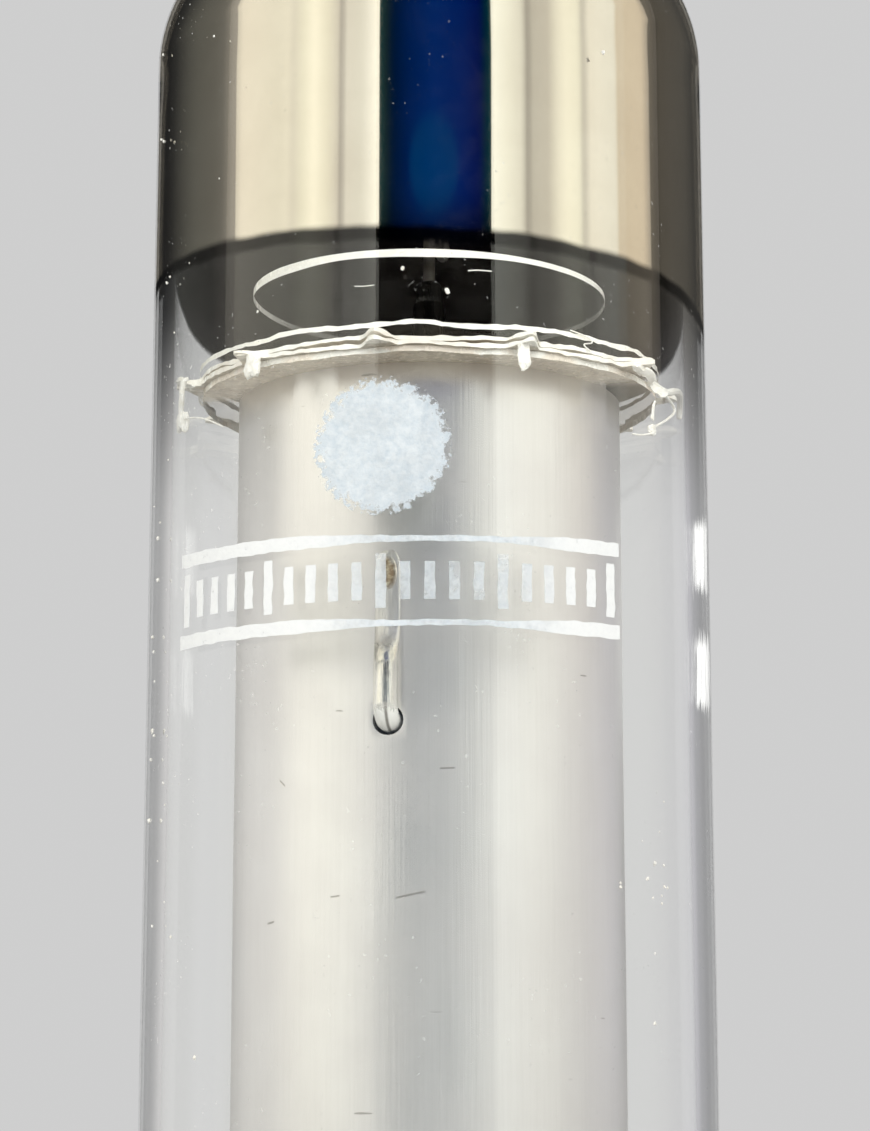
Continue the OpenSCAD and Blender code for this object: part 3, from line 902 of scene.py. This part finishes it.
def add_screens():
    """Two wide soft lights, a blue card behind the camera and two dark flags."""
    warm = screen_material("warm_light", warm_light)
    screen("left_light", LEFT_END, CARD_LEFT, warm)
    screen("right_light", CARD_RIGHT, RIGHT_END, warm)
    blue_card = screen_material("blue_card", blue_light, sampled=False)
    dark_flag = screen_material("dark_flag", dark_light, sampled=False)
    for name, start, end, mat in (("blue_card", CARD_LEFT, CARD_RIGHT, blue_card),
                                  ("left_flag", LEFT_FLAG_END, LEFT_END, dark_flag),
                                  ("right_flag", RIGHT_END, RIGHT_FLAG_END, dark_flag)):
        screen(name, start, end, mat).visible_diffuse = False


def add_fill():
    """A soft lamp that only matt surfaces show."""
    lamp = bpy.data.lights.new("fill", "AREA")
    lamp.shape = "DISK"
    lamp.size = FILL_SIZE * MM
    lamp.energy = FILL_POWER
    fill = bpy.data.objects.new("fill", lamp)
    fill.location = Vector(FILL_PLACE) * MM
    fill.rotation_euler = (Vector(FILL_AIM) - Vector(FILL_PLACE)).to_track_quat("-Z", "Y").to_euler()
    fill.visible_glossy = False
    scene.collection.objects.link(fill)


def add_floor():
    """A pale floor that fades into the world at its rim."""
    f = Finish("pale_floor", Roughness=0.8, Specular_IOR_Level=0.2)
    grain = f.noise(6, detail=3)
    f.put("Base Color", f.ramp(grain, (0.3, (0.545, 0.545, 0.54)), (0.7, (0.565, 0.565, 0.56))))
    f.surface(f.range(f.vector("LENGTH", f.place()), 260, 620), f.shader, f.add("BsdfTransparent"))
    bm = bmesh.new()
    bmesh.ops.create_circle(bm, cap_ends=True, segments=96, radius=FLOOR_R)
    new_object("floor", bm, f.mat)


def add_world():
    """An even pale world."""
    world = bpy.data.worlds.new("pale_world")
    world.use_nodes = True
    world.node_tree.nodes["Background"].inputs["Color"].default_value = (PALE, PALE, PALE, 1)
    scene.world = world
    scene.view_settings.view_transform = "Standard"


# Glass

def button_rings():
    """Radii of the button's faces, close together where the glass rises round the pins."""
    return [0, 1.2, 2.4, 3.1] + spread(3.3, 6.25, 30)


def wet_pins(bm, face_z, rise):
    """Draws the glass along the pins, above or below the button's face at this height."""
    places = [pin_place(n) for n in range(1, 8)]
    for v in bm.verts:
        if abs(v.co.z - face_z) < 1e-4:
            near = min((Vector((v.co.x, v.co.y, 0)) - p).length for p in places)
            v.co.z += rise * (1 - smooth_step(near, 0.55, 1.45))


def swell(place):
    """How far the drawn tube's wall stands out at this place, in millimetres."""
    return 0.012 * noise.noise(Vector((place.x / 5, place.y / 5, place.z / 9)))


def ripple(bm, low, high):
    """Makes the straight wall very slightly uneven, as drawn tube is."""
    for v in bm.verts:
        if low < v.co.z < high:
            v.co += away_from_axis(v.co) * swell(v.co)


def glass_envelope():
    """Bulb, button and tip in one closed body of glass."""
    heel_top_z = SEAT_Z + HEEL_R
    outer = [(r, SEAT_Z) for r in button_rings()]
    outer += arc(BULB_R - HEEL_R, heel_top_z, HEEL_R, -90, 0, 16)[1:]
    outer += [(BULB_R, z) for z in spread(heel_top_z, SHOULDER_Z, 44)[1:-1]]
    outer += arc(CORNER_X, SHOULDER_Z, CORNER_R, 0, CROWN_ANGLE, 14)
    outer += arc(0, CROWN_Z, CROWN_R, CROWN_ANGLE, 74.8, 10)[1:]
    outer += arc(*NECK_FILLET, -97, -180, 10)
    outer += [(NECK_R - 0.06, 62.5), (NECK_R - 0.14, 63.2), (NECK_R - 0.24, 64.0), (TIP_END_R, 64.74)]
    outer += arc(0, TIP_TOP_Z - TIP_END_R, TIP_END_R, 10, 90, 8)[:-1]
    outer += [(0, TIP_TOP_Z)]
    outside = turned(outer)
    wet_pins(outside, SEAT_Z, -BOSS_H)
    ripple(outside, heel_top_z, SHOULDER_Z)

    inner = [(r, BUTTON_TOP_Z) for r in button_rings()]
    inner += [(6.8, 9.32), (7.3, 9.41), (7.75, 9.62), (8.15, 10.0), (8.4, 10.5), (8.51, 10.9)]
    inner += [(BORE_R, z) for z in spread(SEAL_Z + 0.2, SHOULDER_Z, 44)[:-1]]
    inner += arc(CORNER_X, SHOULDER_Z, BORE_CORNER_R, 0, CROWN_ANGLE, 14)
    inner += arc(0, CROWN_Z, BORE_CROWN_R, CROWN_ANGLE, 84.4, 12)[1:]
    inner += [(0.82, 59.98), (0.62, 60.2), (0.46, 60.6), (0.34, 61.1), (0.2, 61.6), (0, 61.8)]
    hollow = turned(inner)
    wet_pins(hollow, BUTTON_TOP_Z, BOSS_H)
    ripple(hollow, SEAL_Z, SHOULDER_Z)
    bmesh.ops.reverse_faces(hollow, faces=hollow.faces)
    piece("glass_envelope", joined((outside, hollow)), GLASS, ("bulb", "button_stem"))


def getter_mirror():
    """Thin film on the inside of the dome and the upper wall."""
    def skin(grow):
        wall = [(BORE_R + grow, z) for z in (43.8, 44.6, 45.4, 46.2, 48, 50, 52)]
        wall += arc(CORNER_X, SHOULDER_Z, BORE_CORNER_R + grow, 0, CROWN_ANGLE, 14)
        wall += arc(0, CROWN_Z, BORE_CROWN_R + grow, CROWN_ANGLE, 84, 12)[1:]
        return wall

    film = piece("getter_mirror", turned(skin(0.03) + skin(-0.03)[::-1], closed=True), FILM)
    film.visible_shadow = False


# Metal

SHEET_COLUMNS = 266
SHEET_STEP = 360 / ROUND
CELL = CATHODE_R * math.radians(SHEET_STEP)
HOLE_COLUMN = 106
HOLE_CELLS = 4
SHEET_START = 270 - HOLE_COLUMN * SHEET_STEP
EAR_COLUMNS = (26, 90, 154, 218)
EAR_REACH = 5.1 * CELL
EAR_ROWS = (0.4, 0.25, 0.06, 0.06, 0.06, 0.06, 0.3, 0.45, 0.45)
FOLD_RISE = 0.65
FOLD_R = 0.15
SHEET_DEGREE = 0.111

# The starter wire above its bend, from the top: height, half width and half depth
STARTER_SHAPE = (
    (36.34, 0.14, 0.03), (36.26, 0.27, 0.05), (36.05, 0.36, 0.07), (35.4, 0.385, 0.07),
    (34.6, 0.385, 0.07), (34.0, 0.385, 0.08), (33.72, 0.385, 0.12), (33.5, 0.38, 0.19),
    (33.28, 0.374, 0.28), (33.05, 0.368, 0.34), (32.75, STARTER_R, STARTER_R), (32.2, STARTER_R, STARTER_R),
)


def flat_sheet():
    """The cathode's flat pattern: columns of cells, with a round hole and ears."""
    hole = [STARTER_Z + CELL * i for i in range(-HOLE_CELLS, HOLE_CELLS + 1)]
    rows = spread(CATHODE_Z, hole[0], 12)[:-1] + hole + spread(hole[-1], RIM_Z, 8)[1:]
    bm = bmesh.new()
    bmesh.ops.create_grid(bm, x_segments=SHEET_COLUMNS, y_segments=len(rows) - 1, size=1)
    for v in bm.verts:
        column = round((v.co.x + 1) / 2 * SHEET_COLUMNS)
        row = round((v.co.y + 1) / 2 * (len(rows) - 1))
        v.co = Vector((column * CELL, rows[row], 0))

    middle = Vector((HOLE_COLUMN * CELL, STARTER_Z, 0))
    reach = HOLE_CELLS * CELL
    off = {face: face.calc_center_median() - middle for face in bm.faces}
    gone = [face for face in bm.faces if abs(off[face].x) < reach and abs(off[face].y) < reach]
    bmesh.ops.delete(bm, geom=gone, context="FACES")
    rim = [e for e in bm.edges
           if e.is_boundary and all((v.co - middle).length < 1.5 * reach for v in e.verts)]
    for v in extruded(bm, rim)[0]:
        v.co = middle + (v.co - middle).normalized() * HOLE_R

    for column in EAR_COLUMNS:
        for edge_z, step in ((RIM_Z, 1), (CATHODE_Z, -1)):
            edges = [e for e in bm.edges if e.is_boundary and all(
                abs(v.co.y - edge_z) < 1e-4 and abs(v.co.x - column * CELL) < EAR_REACH for v in e.verts)]
            for length in EAR_ROWS:
                verts, edges = extruded(bm, edges)
                bmesh.ops.translate(bm, vec=(0, step * length, 0), verts=verts)
    return bm


def roll(v):
    """Where a point of the flat pattern lies on the rolled sheet."""
    along = v.x / CELL * SHEET_STEP
    turn = math.radians(SHEET_START + along)
    radius = CATHODE_R + SHEET_T * smooth_step(along, 352, 360)
    z = v.y
    for fold, step in ((RIM_Z + FOLD_RISE, 1), (CATHODE_Z - FOLD_RISE, -1)):
        over = (v.y - fold) * step
        if over > 0:
            bend = min(over / FOLD_R, math.pi / 2)
            radius -= FOLD_R * (1 - math.cos(bend)) + max(over - FOLD_R * math.pi / 2, 0)
            z = fold + step * FOLD_R * math.sin(bend)
    if CATHODE_Z < z < RIM_Z:
        radius += 0.018 * noise.noise(Vector((3 * math.cos(turn), 3 * math.sin(turn), z / 9)))
        for weld in range(WELD_MARKS):
            up = z - WELD_MARKS_Z - weld * WELD_MARKS_STEP
            gap = math.hypot((along - WELD_MARKS_ANGLE) * SHEET_DEGREE, up)
            radius -= 0.07 * (1 - smooth_step(gap, 0.15, 0.42))
    return Vector((radius * math.cos(turn), radius * math.sin(turn), z))


def cathode():
    """Rolled sheet with a lapped seam, a hole for the starter wire and folded ears."""
    bm = flat_sheet()
    bmesh.ops.recalc_face_normals(bm, faces=bm.faces)
    for v in bm.verts:
        v.co = roll(v.co)
    bmesh.ops.recalc_face_normals(bm, faces=bm.faces)
    sample = min(bm.faces, key=lambda face: abs(face.calc_center_median().z - 20))
    if sample.normal.dot(away_from_axis(sample.calc_center_median())) < 0:
        bmesh.ops.reverse_faces(bm, faces=bm.faces)
    obj = piece("cathode", bm, NICKEL, ("cathode_cylinder",), sharp=50)
    sheet_metal(obj, SHEET_T, -1, 50)


def starter_wire():
    """Wire flattened at its weld, round below, bent in through the cathode's hole."""
    right = (1, 0, 0)
    stations = [((0, -CATHODE_R - deep * 0.98, z), (0, 0, -1), wide, deep, right)
                for z, wide, deep in STARTER_SHAPE]
    bend_r = 0.5
    for y, z in arc(bend_r - CATHODE_R - STARTER_R, STARTER_Z + bend_r, bend_r, 180, 270, 8):
        turn = math.radians(90 * (len(stations) - len(STARTER_SHAPE)) / 8)
        stations.append(((0, y, z), (0, math.sin(turn), -math.cos(turn)), STARTER_R, STARTER_R, right))
    for y, radius in ((-5.0, STARTER_R), (-3.5, STARTER_R), (-2.3, STARTER_R), (-2.15, 0.27)):
        stations.append(((0, y, STARTER_Z), (0, 1, 0), radius, radius, right))
    finished("starter_wire", tube_along(stations, 32), WIRE)


def starter_weld():
    """The wire's weld spot, dimpled in front."""
    bm = bmesh.new()
    bmesh.ops.create_uvsphere(bm, u_segments=24, v_segments=14, radius=1)
    for v in bm.verts:
        dimple = 0.6 * (1 - smooth_step(math.hypot(v.co.x, v.co.z), 0.1, 0.75)) if v.co.y < 0 else 0
        y = v.co.y * (1 - dimple) * 0.08 - CATHODE_R - 0.13
        v.co = Vector((v.co.x * WELD_WIDE, y, v.co.z * WELD_TALL + WELD_Z))
    piece("starter_weld", bm, WIRE, sharp=80)


def pins():
    """Pins with rounded tips, and the thinner wires that seal through the button."""
    section = [(0, 0), (0.24, 0.0), (0.4, 0.05), (0.48, 0.15), (PIN_R, 0.34), (PIN_R, 5.9), (0.47, 5.99),
               (SEAL_WIRE_R, 6.02), (SEAL_WIRE_R, PIN_TOP_Z - 0.08), (0.3, PIN_TOP_Z), (0, PIN_TOP_Z)]
    for n in range(1, 8):
        bm = turned(section, 48)
        bmesh.ops.translate(bm, vec=pin_place(n), verts=bm.verts)
        finished(f"pin_{n}", bm, PIN)


def anode():
    """Rod with a rounded end that passes every disc."""
    section = [(0, ANODE_FOOT_Z), (0.45, ANODE_FOOT_Z), (ANODE_R, ANODE_FOOT_Z + 0.08),
               (ANODE_R, ANODE_NECK_Z - 0.05), (ANODE_R - 0.02, ANODE_NECK_Z),
               (ANODE_NECK_R, ANODE_NECK_Z + 0.01)]
    for share, drop in ((1, 0.33), (0.93, 0.17), (0.72, 0.06), (0.4, 0.01), (0, 0)):
        section.append((ANODE_NECK_R * share, ANODE_TOP_Z - drop))
    finished("anode_rod", turned(section, 64), ROD)


def rod_ring(node, outer, low, high, corner, finish):
    """A ring on the anode rod, with chamfered corners."""
    wall = [(ANODE_R, low), (outer - corner, low), (outer, low + corner), (outer, high - corner),
            (outer - corner, high), (ANODE_R, high)]
    finished(node, turned(wall, 64, closed=True), finish)


def rod_rings():
    """The rod's sleeve and its two collars."""
    rod_ring("anode_sleeve", SLEEVE_R, CATHODE_Z, CATHODE_Z + SLEEVE_H, 0.08, CERAMIC)
    for end, low in (("top", COVER_Z + COVER_T), ("bottom", LOWER_PLAIN_Z - COLLAR_H)):
        rod_ring(f"anode_{end}_collar", COLLAR_R, low, low + COLLAR_H, 0.06, STRAP)


def strap(node, n, points):
    """A ribbon towards pin n, bent through points of (distance from the axis, height)."""
    bm = bmesh.new()
    edges = line(bm, [(x, -STRAP_W / 2, z) for x, z in points])[1]
    bmesh.ops.translate(bm, vec=(0, STRAP_W, 0), verts=extruded(bm, edges)[0])
    bmesh.ops.rotate(bm, cent=(0, 0, 0), matrix=Matrix.Rotation(pin_turn(n), 3, "Z"), verts=bm.verts)
    sheet_metal(finished(node, bm, STRAP, sharp=60), STRAP_T, 0, 30)


def straps():
    """Ribbons from three pins out to the cathode and from two pins in to the anode."""
    bend_z = STRAP_Z + STRAP_BEND_R
    path = [(4.42, STRAP_Z), (4.9, STRAP_Z), (5.5, STRAP_Z)]
    path += arc(CATHODE_STRAP_X - STRAP_BEND_R, bend_z, STRAP_BEND_R, -90, 0, 6)
    path += [(CATHODE_STRAP_X, z) for z in (12.0, 13.5, 15.2, 16.95)]
    for n in (2, 4, 7):
        strap(f"cathode_strap_{n}", n, path)
    path = [(5.1, STRAP_Z), (4.0, STRAP_Z), (2.4, STRAP_Z)]
    path += arc(ANODE_STRAP_X + STRAP_BEND_R, bend_z, STRAP_BEND_R, -90, -180, 6)
    path += [(ANODE_STRAP_X, z) for z in (11.6, 11.98)]
    for n in (1, 5):
        strap(f"anode_strap_{n}", n, path)


def getter():
    """Ring of open channel on a thin bent wire."""
    section = [(2.26, 0), (3.14, 0), (3.2, 0.06), (3.2, 0.96), (3.16, 1.0), (3.04, 1.0), (3.0, 0.96),
               (3.0, 0.42), (2.4, 0.42), (2.4, 0.96), (2.36, 1.0), (2.24, 1.0), (2.2, 0.96), (2.2, 0.06)]
    ring = turned([(r, GETTER_Z + rise) for r, rise in section], 128, closed=True)
    finished("getter_ring", ring, GETTER)
    path = [(0, ANODE_TOP_Z), (0, 47.4)]
    path += arc(POST_BEND_R, POST_ARM_Z - POST_BEND_R, POST_BEND_R, 180, 90, 6)
    path += arc(GETTER_R - POST_BEND_R, POST_ARM_Z + POST_BEND_R, POST_BEND_R, -90, 0, 6)
    path += [(GETTER_R, GETTER_Z - 0.02)]
    finished("getter_post", round_tube([(0, y, z) for y, z in path], POST_R), GETTER)


# Mica

TOOTH_SLOPE = 4.6
TOOTHED_COLUMNS = 64 * TEETH

# Torn flakes: (degrees, height, distance from the axis), width, height, seed and lean in degrees
FLAKES = (
    ((-60, 42.5, 8.25), 0.75, 0.22, 3, 5),
    ((-57, 42.15, 8.3), 0.3, 0.7, 5, 10),
    ((66, 42.35, 8.2), 0.7, 0.3, 11, 25),
    ((71, 42.0, 8.25), 0.55, 0.45, 13, -30),
    ((68, 41.2, 8.25), 0.18, 0.8, 19, 30),
)

# Curled tooth ends and clots: place, half width, half depth, half height, seed and lean in degrees
LUMPS = (
    ((-30.5, 42.28, 8.05), 0.27, 0.14, 0.40, 3, 6),
    ((31.8, 42.2, 8.05), 0.19, 0.12, 0.42, 5, -4),
    ((-64, 42.72, 8.3), 0.5, 0.12, 0.11, 12, 0),
    ((-55, 41.1, 8.3), 0.12, 0.1, 0.33, 14, 4),
    ((-58, 41.15, 8.35), 0.2, 0.08, 0.3, 15, 0),
    ((64, 42.45, 8.1), 0.28, 0.12, 0.13, 18, 20),
    ((67.5, 40.55, 8.2), 0.13, 0.1, 0.16, 21, 20),
    ((14.8, 43.97, 8.48), 0.06, 0.04, 0.1, 27, -25),
)

# Loose threads: their radius, and their places as above
THREADS = (
    (0.06, ((-54, 42.5, 8.3), (-54, 42.3, 8.4), (-53.8, 41.8, 8.42), (-55, 41.45, 8.4),
            (-55.2, 40.9, 8.38))),
    (0.025, ((-55, 41.2, 8.35), (-49, 41.05, 8.1), (-42, 40.6, 7.9))),
    (0.12, ((70, 42.2, 8.0), (74.7, 42.0, 8.2), (80, 42.2, 8.3), (86, 42.25, 8.38), (90, 42.05, 8.4),
            (91, 41.7, 8.38))),
    (0.04, ((72, 42.0, 8.2), (79, 41.6, 8.3), (74, 41.1, 8.3), (67, 40.6, 8.25))),
    (0.03, ((67, 40.42, 8.25), (63.5, 40.28, 8.2), (60.5, 40.24, 8.15))),
    (0.022, ((45, 43.3, 7.72), (49.6, 43.17, 7.76), (51, 43.02, 7.76), (48.4, 42.9, 7.78),
             (50.2, 42.74, 7.78))),
    (0.02, ((19, 44.63, 8.49), (21, 44.66, 8.49), (23.8, 44.65, 8.49))),
    (0.015, ((-4, 44.2, 8.49), (-2.1, 44.18, 8.49), (0, 44.2, 8.49))),
)

# Stretches of the glass without dust, in degrees from the starter wire to the right
CLEAN_GLASS = ((-90, -63), (70, 115), (250, 300))


def lamina(outline, hole_r, z, thick, columns):
    """One thin leaf with an outline of outline(degrees) millimetres and a round hole."""
    bm = bmesh.new()
    loops = []
    for share in (0, 0.45, 0.86, 1):
        ring = bmesh.ops.create_circle(bm, cap_ends=False, segments=columns, radius=1)["verts"]
        for v in ring:
            degrees = math.degrees(math.atan2(v.co.y, v.co.x)) % 360
            v.co = v.co.normalized() * (hole_r + (outline(degrees) - hole_r) * share)
        loops.append(list({e for v in ring for e in v.link_edges}))
    for first, second in zip(loops, loops[1:]):
        bmesh.ops.bridge_loops(bm, edges=first + second)
    thicken(bm, thick)
    low = min(v.co.z for v in bm.verts)
    bmesh.ops.translate(bm, vec=(0, 0, z - low), verts=bm.verts)
    return bm


def round_noise(degrees, size, seed):
    """Noise along a circle of this size, whose ends meet."""
    a = math.radians(degrees)
    return noise.noise(Vector((size * math.cos(a), size * math.sin(a), seed)))


def uneven(radius, seed, rough=0.05, fine=0.03):
    """An outline of this radius whose cut edge wanders a little."""
    def outline(degrees):
        slow = rough * min(round_noise(degrees, 2.2, seed), 0)
        return radius - 0.02 + slow + fine * min(round_noise(degrees, 15, seed + 5), 0)
    return outline


def toothed(seed, short):
    """An outline with teeth that reach almost to the glass."""
    plain = uneven(TOOTHED_DISC_R, seed, 0.08, 0.06)

    def outline(degrees):
        gap = (degrees + 90) % TOOTH_STEP
        gap = min(gap, TOOTH_STEP - gap)
        nick = 0.1 * round_noise(degrees, 9, seed + 2)
        tooth = smooth_step(TOOTH_SLOPE + 2 * nick - gap, 0, TOOTH_SLOPE)
        return plain(degrees) + tooth * (TOOTH_TIP_R - short + min(nick, 0) - TOOTHED_DISC_R)
    return outline


def bent_leaf(leaf, i, z, thick, wave, curl, tilt, swollen):
    """Bends leaf i of a disc at height z, and returns it."""
    for v in leaf.verts:
        radius = math.hypot(v.co.x, v.co.y)
        slow = noise.noise(Vector((v.co.x / 1.9, v.co.y / 1.9, z + 4 * i)))
        quick = noise.noise(Vector((v.co.x / 0.35, v.co.y / 0.35, 9 * v.co.z)))
        lift = noise.noise(Vector((v.co.x / 2.5, v.co.y / 2.5, z + i)))
        v.co.z += smooth_step(radius, 0.84 * BORE_R, 0.9 * BORE_R) * wave * (slow + 0.6 * quick)
        if v.co.z < z + thick / 2:
            v.co.z -= swollen * smooth_step(-v.co.y - 0.5 * v.co.x, 2.0, 6.5) * (1 + 0.8 * lift)
        v.co.z += 2 * curl * smooth_step(radius, PLAIN_DISC_R, TOOTH_TIP_R) * lift
        v.co.z -= math.tan(math.radians(tilt)) * v.co.x
    return leaf


def disc(node, outlines, z, thick, finish, hole_r=ANODE_R, columns=ROUND, wave=0.0, curl=0.0, tilt=0.0,
         swollen=0.0):
    """A disc of thin leaves, one for each outline, whose wavy edges don't quite meet.

    Wave lifts the rim in ripples, curl lifts the teeth, tilt slopes the disc down to the right by degrees,
    and swollen thickens it at the front, to the left.
    """
    step = thick / len(outlines)
    leaf_t = step * (0.86 if len(outlines) > 1 else 1)
    leaves = []
    for i, outline in enumerate(outlines):
        leaf = lamina(outline, hole_r, z + step * i, leaf_t, columns)
        leaves.append(bent_leaf(leaf, i, z, thick, wave, curl, tilt, swollen))
    finished(node, joined(leaves), finish, sharp=30)


def discs():
    """The plain and toothed discs at both ends, the cover disc and the getter's shield."""
    disc("upper_plain_mica", [uneven(PLAIN_DISC_R, 3)], RIM_Z, PLAIN_T - 0.01, PLAIN_MICA, wave=0.07)
    disc("upper_toothed_mica", [toothed(7, 0), toothed(8, 0.05)], TOOTHED_Z, TOOTHED_T, MICA,
         columns=TOOTHED_COLUMNS, wave=0.09, curl=0.12)
    disc("upper_cover_mica", [uneven(COVER_DISC_R, 12, 0.08)], COVER_Z, COVER_T, COVER_MICA, wave=0.10)
    disc("getter_shield_mica", [uneven(SHIELD_DISC_R, 20, 0.06, 0.01)], SHIELD_Z, 0.18, SHIELD_MICA,
         hole_r=ANODE_NECK_R, tilt=1.0, swollen=0.09)
    disc("lower_toothed_mica", [toothed(31, 0), toothed(32, 0.05)], LOWER_TOOTHED_Z, TOOTHED_T, MICA,
         columns=TOOTHED_COLUMNS, wave=0.08)
    disc("lower_plain_mica", [uneven(PLAIN_DISC_R, 40), uneven(PLAIN_DISC_R, 41)], LOWER_PLAIN_Z, PLAIN_T,
         PLAIN_MICA, wave=0.08)


def put_on_wall(bm, centre, lean):
    """Leans a small piece sideways and moves it to its place near the glass, facing out."""
    turn = Matrix.Rotation(math.radians(centre[0]), 3, "Z")
    slant = Matrix.Rotation(math.radians(lean), 3, "Y")
    bmesh.ops.rotate(bm, cent=(0, 0, 0), matrix=turn @ slant, verts=bm.verts)
    bmesh.ops.translate(bm, vec=on_wall(*centre), verts=bm.verts)


def flake(centre, wide, tall, seed, lean):
    """A small torn flake of mica, curled and ragged."""
    rng = random.Random(seed)
    bm = bmesh.new()
    bmesh.ops.create_grid(bm, x_segments=5, y_segments=8, size=0.5)
    for v in bm.verts:
        x, y = v.co.x, v.co.y
        edge = max(abs(x), abs(y)) > 0.49
        jitter = Vector((rng.uniform(-1, 1), rng.uniform(-1, 1), rng.uniform(-1, 1)))
        narrow = 1 - 0.5 * (y + 0.5) * rng.uniform(0.6, 1)
        curl = 0.28 * wide * math.sin(3 * y + seed) + 0.5 * wide * x * x
        ragged = jitter * (0.1 if edge else 0.04) * min(wide, tall)
        v.co = Vector((x * wide * narrow, curl, y * tall)) + ragged
    put_on_wall(bm, centre, lean)
    thicken(bm, 0.03)
    return bm


def lump(centre, wide, deep, tall, seed, lean):
    """A curled tooth end or a clot of torn fibres, rough all over."""
    bm = bmesh.new()
    bmesh.ops.create_icosphere(bm, subdivisions=4, radius=1)
    for v in bm.verts:
        v.co = Vector([math.copysign(abs(c) ** 0.72, c) for c in v.co])
        big = noise.noise(v.co * 1.3 + Vector((seed, 0, 0)))
        small = noise.noise(v.co * 4.5 + Vector((0, seed, 0)))
        v.co = v.co * (1 + 0.35 * big + 0.14 * small)
        v.co = Vector((v.co.x * wide, v.co.y * deep, v.co.z * tall))
    put_on_wall(bm, centre, lean)
    return bm


def thread(radius, places):
    """A torn thread through its places, joined by soft curves."""
    points = [on_wall(*p) for p in places]
    padded = points[:1] + points + points[-1:]
    path = []
    for before, start, end, after in zip(padded, padded[1:], padded[2:], padded[3:]):
        for t in spread(0, 1, 5)[:-1]:
            path.append(start + (end - before) * 0.5 * t
                        + (2 * before - 5 * start + 4 * end - after) * 0.5 * t ** 2
                        + (3 * start - before - 3 * end + after) * 0.5 * t ** 3)
    path.append(points[-1])
    return round_tube(path, radius, 8, across=(0, 0.3, 1))


def frayed_edges():
    """Torn flakes, curled tooth ends and loose threads where the teeth scrape the glass."""
    torn = [flake(*row) for row in FLAKES] + [lump(*row) for row in LUMPS]
    piece("torn_mica", joined(torn), FRAYED, sharp=25)
    piece("mica_fibres", joined(thread(*row) for row in THREADS), FRAYED)


def grain_of_dust(rng, i, degrees, z):
    """Grain i of the dust, a rough ball half sunk in the outside of the glass."""
    size = rng.uniform(0.018, 0.05) * rng.uniform(0.7, 1.3)
    grain = bmesh.new()
    bmesh.ops.create_icosphere(grain, subdivisions=2, radius=size)
    centre = on_wall(degrees, z, BULB_R + 0.2 * size)
    for v in grain.verts:
        v.co *= 1 + 0.8 * noise.noise(v.co / size * 1.2 + Vector((0, 0, 3 * i)))
        v.co.z *= 1.3
        v.co += centre
    return grain


def glass_dust():
    """Grains of dust on the glass, most of them on the left."""
    rng = random.Random(12)
    places = [(rng.uniform(-66, -44), rng.uniform(24, 57)) for _ in range(26)]
    places += [(rng.uniform(-62, -58), rng.uniform(26, 36)) for _ in range(8)]
    places += [(rng.gauss(58, 3.5), rng.gauss(25.5, 1.6)) for _ in range(16)]
    places += [(rng.uniform(0, 360), rng.uniform(14, 57)) for _ in range(30)]
    dusty = [place for place in places if not any(low < place[0] < high for low, high in CLEAN_GLASS)]
    grains = (grain_of_dust(rng, i, degrees, z) for i, (degrees, z) in enumerate(dusty))
    piece("glass_dust", joined(grains), FRAYED)


# Print

PRINT_HALF = math.radians(47.6) * BULB_R
BAR_TALL = 0.42
STROKE_WIDE = 0.32
TALL_STROKE = (34.1, 35.75)
SHORT_STROKE = (34.35, 35.5)


def wrap(bm):
    """Lays a flat mesh of (length, height) on the outside of the bulb and gives it a little thickness."""
    for v in bm.verts:
        place = on_wall(PRINT_MIDDLE + math.degrees(v.co.x / BULB_R), v.co.y, PRINT_R)
        v.co = place + away_from_axis(place) * swell(place)
    thicken(bm, PRINT_T)
    return bm


def bar(middle_z):
    """A bar across the print at this height, rubbed narrower to the right of the middle."""
    low = middle_z - BAR_TALL / 2
    bm = bmesh.new()
    bmesh.ops.create_grid(bm, x_segments=240, y_segments=2, size=0.5)
    for v in bm.verts:
        x = v.co.x * 2 * PRINT_HALF
        worn = 0.58 * smooth_step(x, -3.0, 0.6) * (1 - smooth_step(x, 3.2, 6.2))
        rough = 0.035 * noise.noise(Vector((x / 0.35, 9 * v.co.y, low)))
        v.co = Vector((x, middle_z + v.co.y * BAR_TALL * (1 - worn) + rough, 0))
    return wrap(bm)


def stroke(middle, low, high):
    """An upright stroke with slightly uneven sides."""
    bm = bmesh.new()
    bmesh.ops.create_grid(bm, x_segments=2, y_segments=14, size=0.5)
    for v in bm.verts:
        y = low + (v.co.y + 0.5) * (high - low)
        rough = 0.04 * noise.noise(Vector((9 * v.co.x + middle, y / 0.3, middle)))
        v.co = Vector((middle + v.co.x * STROKE_WIDE + rough, y, 0))
    return wrap(bm)


def spot():
    """A round spot, from a square grid whose sides are drawn out to a circle."""
    bm = bmesh.new()
    bmesh.ops.create_grid(bm, x_segments=40, y_segments=40, size=1)
    for v in bm.verts:
        x, y = v.co.x, v.co.y
        right, up = x * math.sqrt(1 - y * y / 2), y * math.sqrt(1 - x * x / 2)
        v.co = Vector((right * SPOT_R, SPOT_Z + up * SPOT_R, 0))
    return wrap(bm)


def printed_marks():
    """Two plain bars, a row of plain strokes between them and a plain round spot above."""
    piece("printed_bars", joined(bar(z) for z in BAR_HEIGHTS), INK)
    middles = spread(0.35 - PRINT_HALF, PRINT_HALF - 0.35, 20)
    strokes = (stroke(x, *(SHORT_STROKE if i % 5 else TALL_STROKE)) for i, x in enumerate(middles))
    piece("printed_strokes", joined(strokes), INK)
    piece("printed_spot", spot(), INK)


add_camera()
add_screens()
add_fill()
add_floor()
add_world()
glass_envelope()
getter_mirror()
cathode()
starter_wire()
starter_weld()
pins()
anode()
rod_rings()
straps()
getter()
discs()
frayed_edges()
glass_dust()
printed_marks()
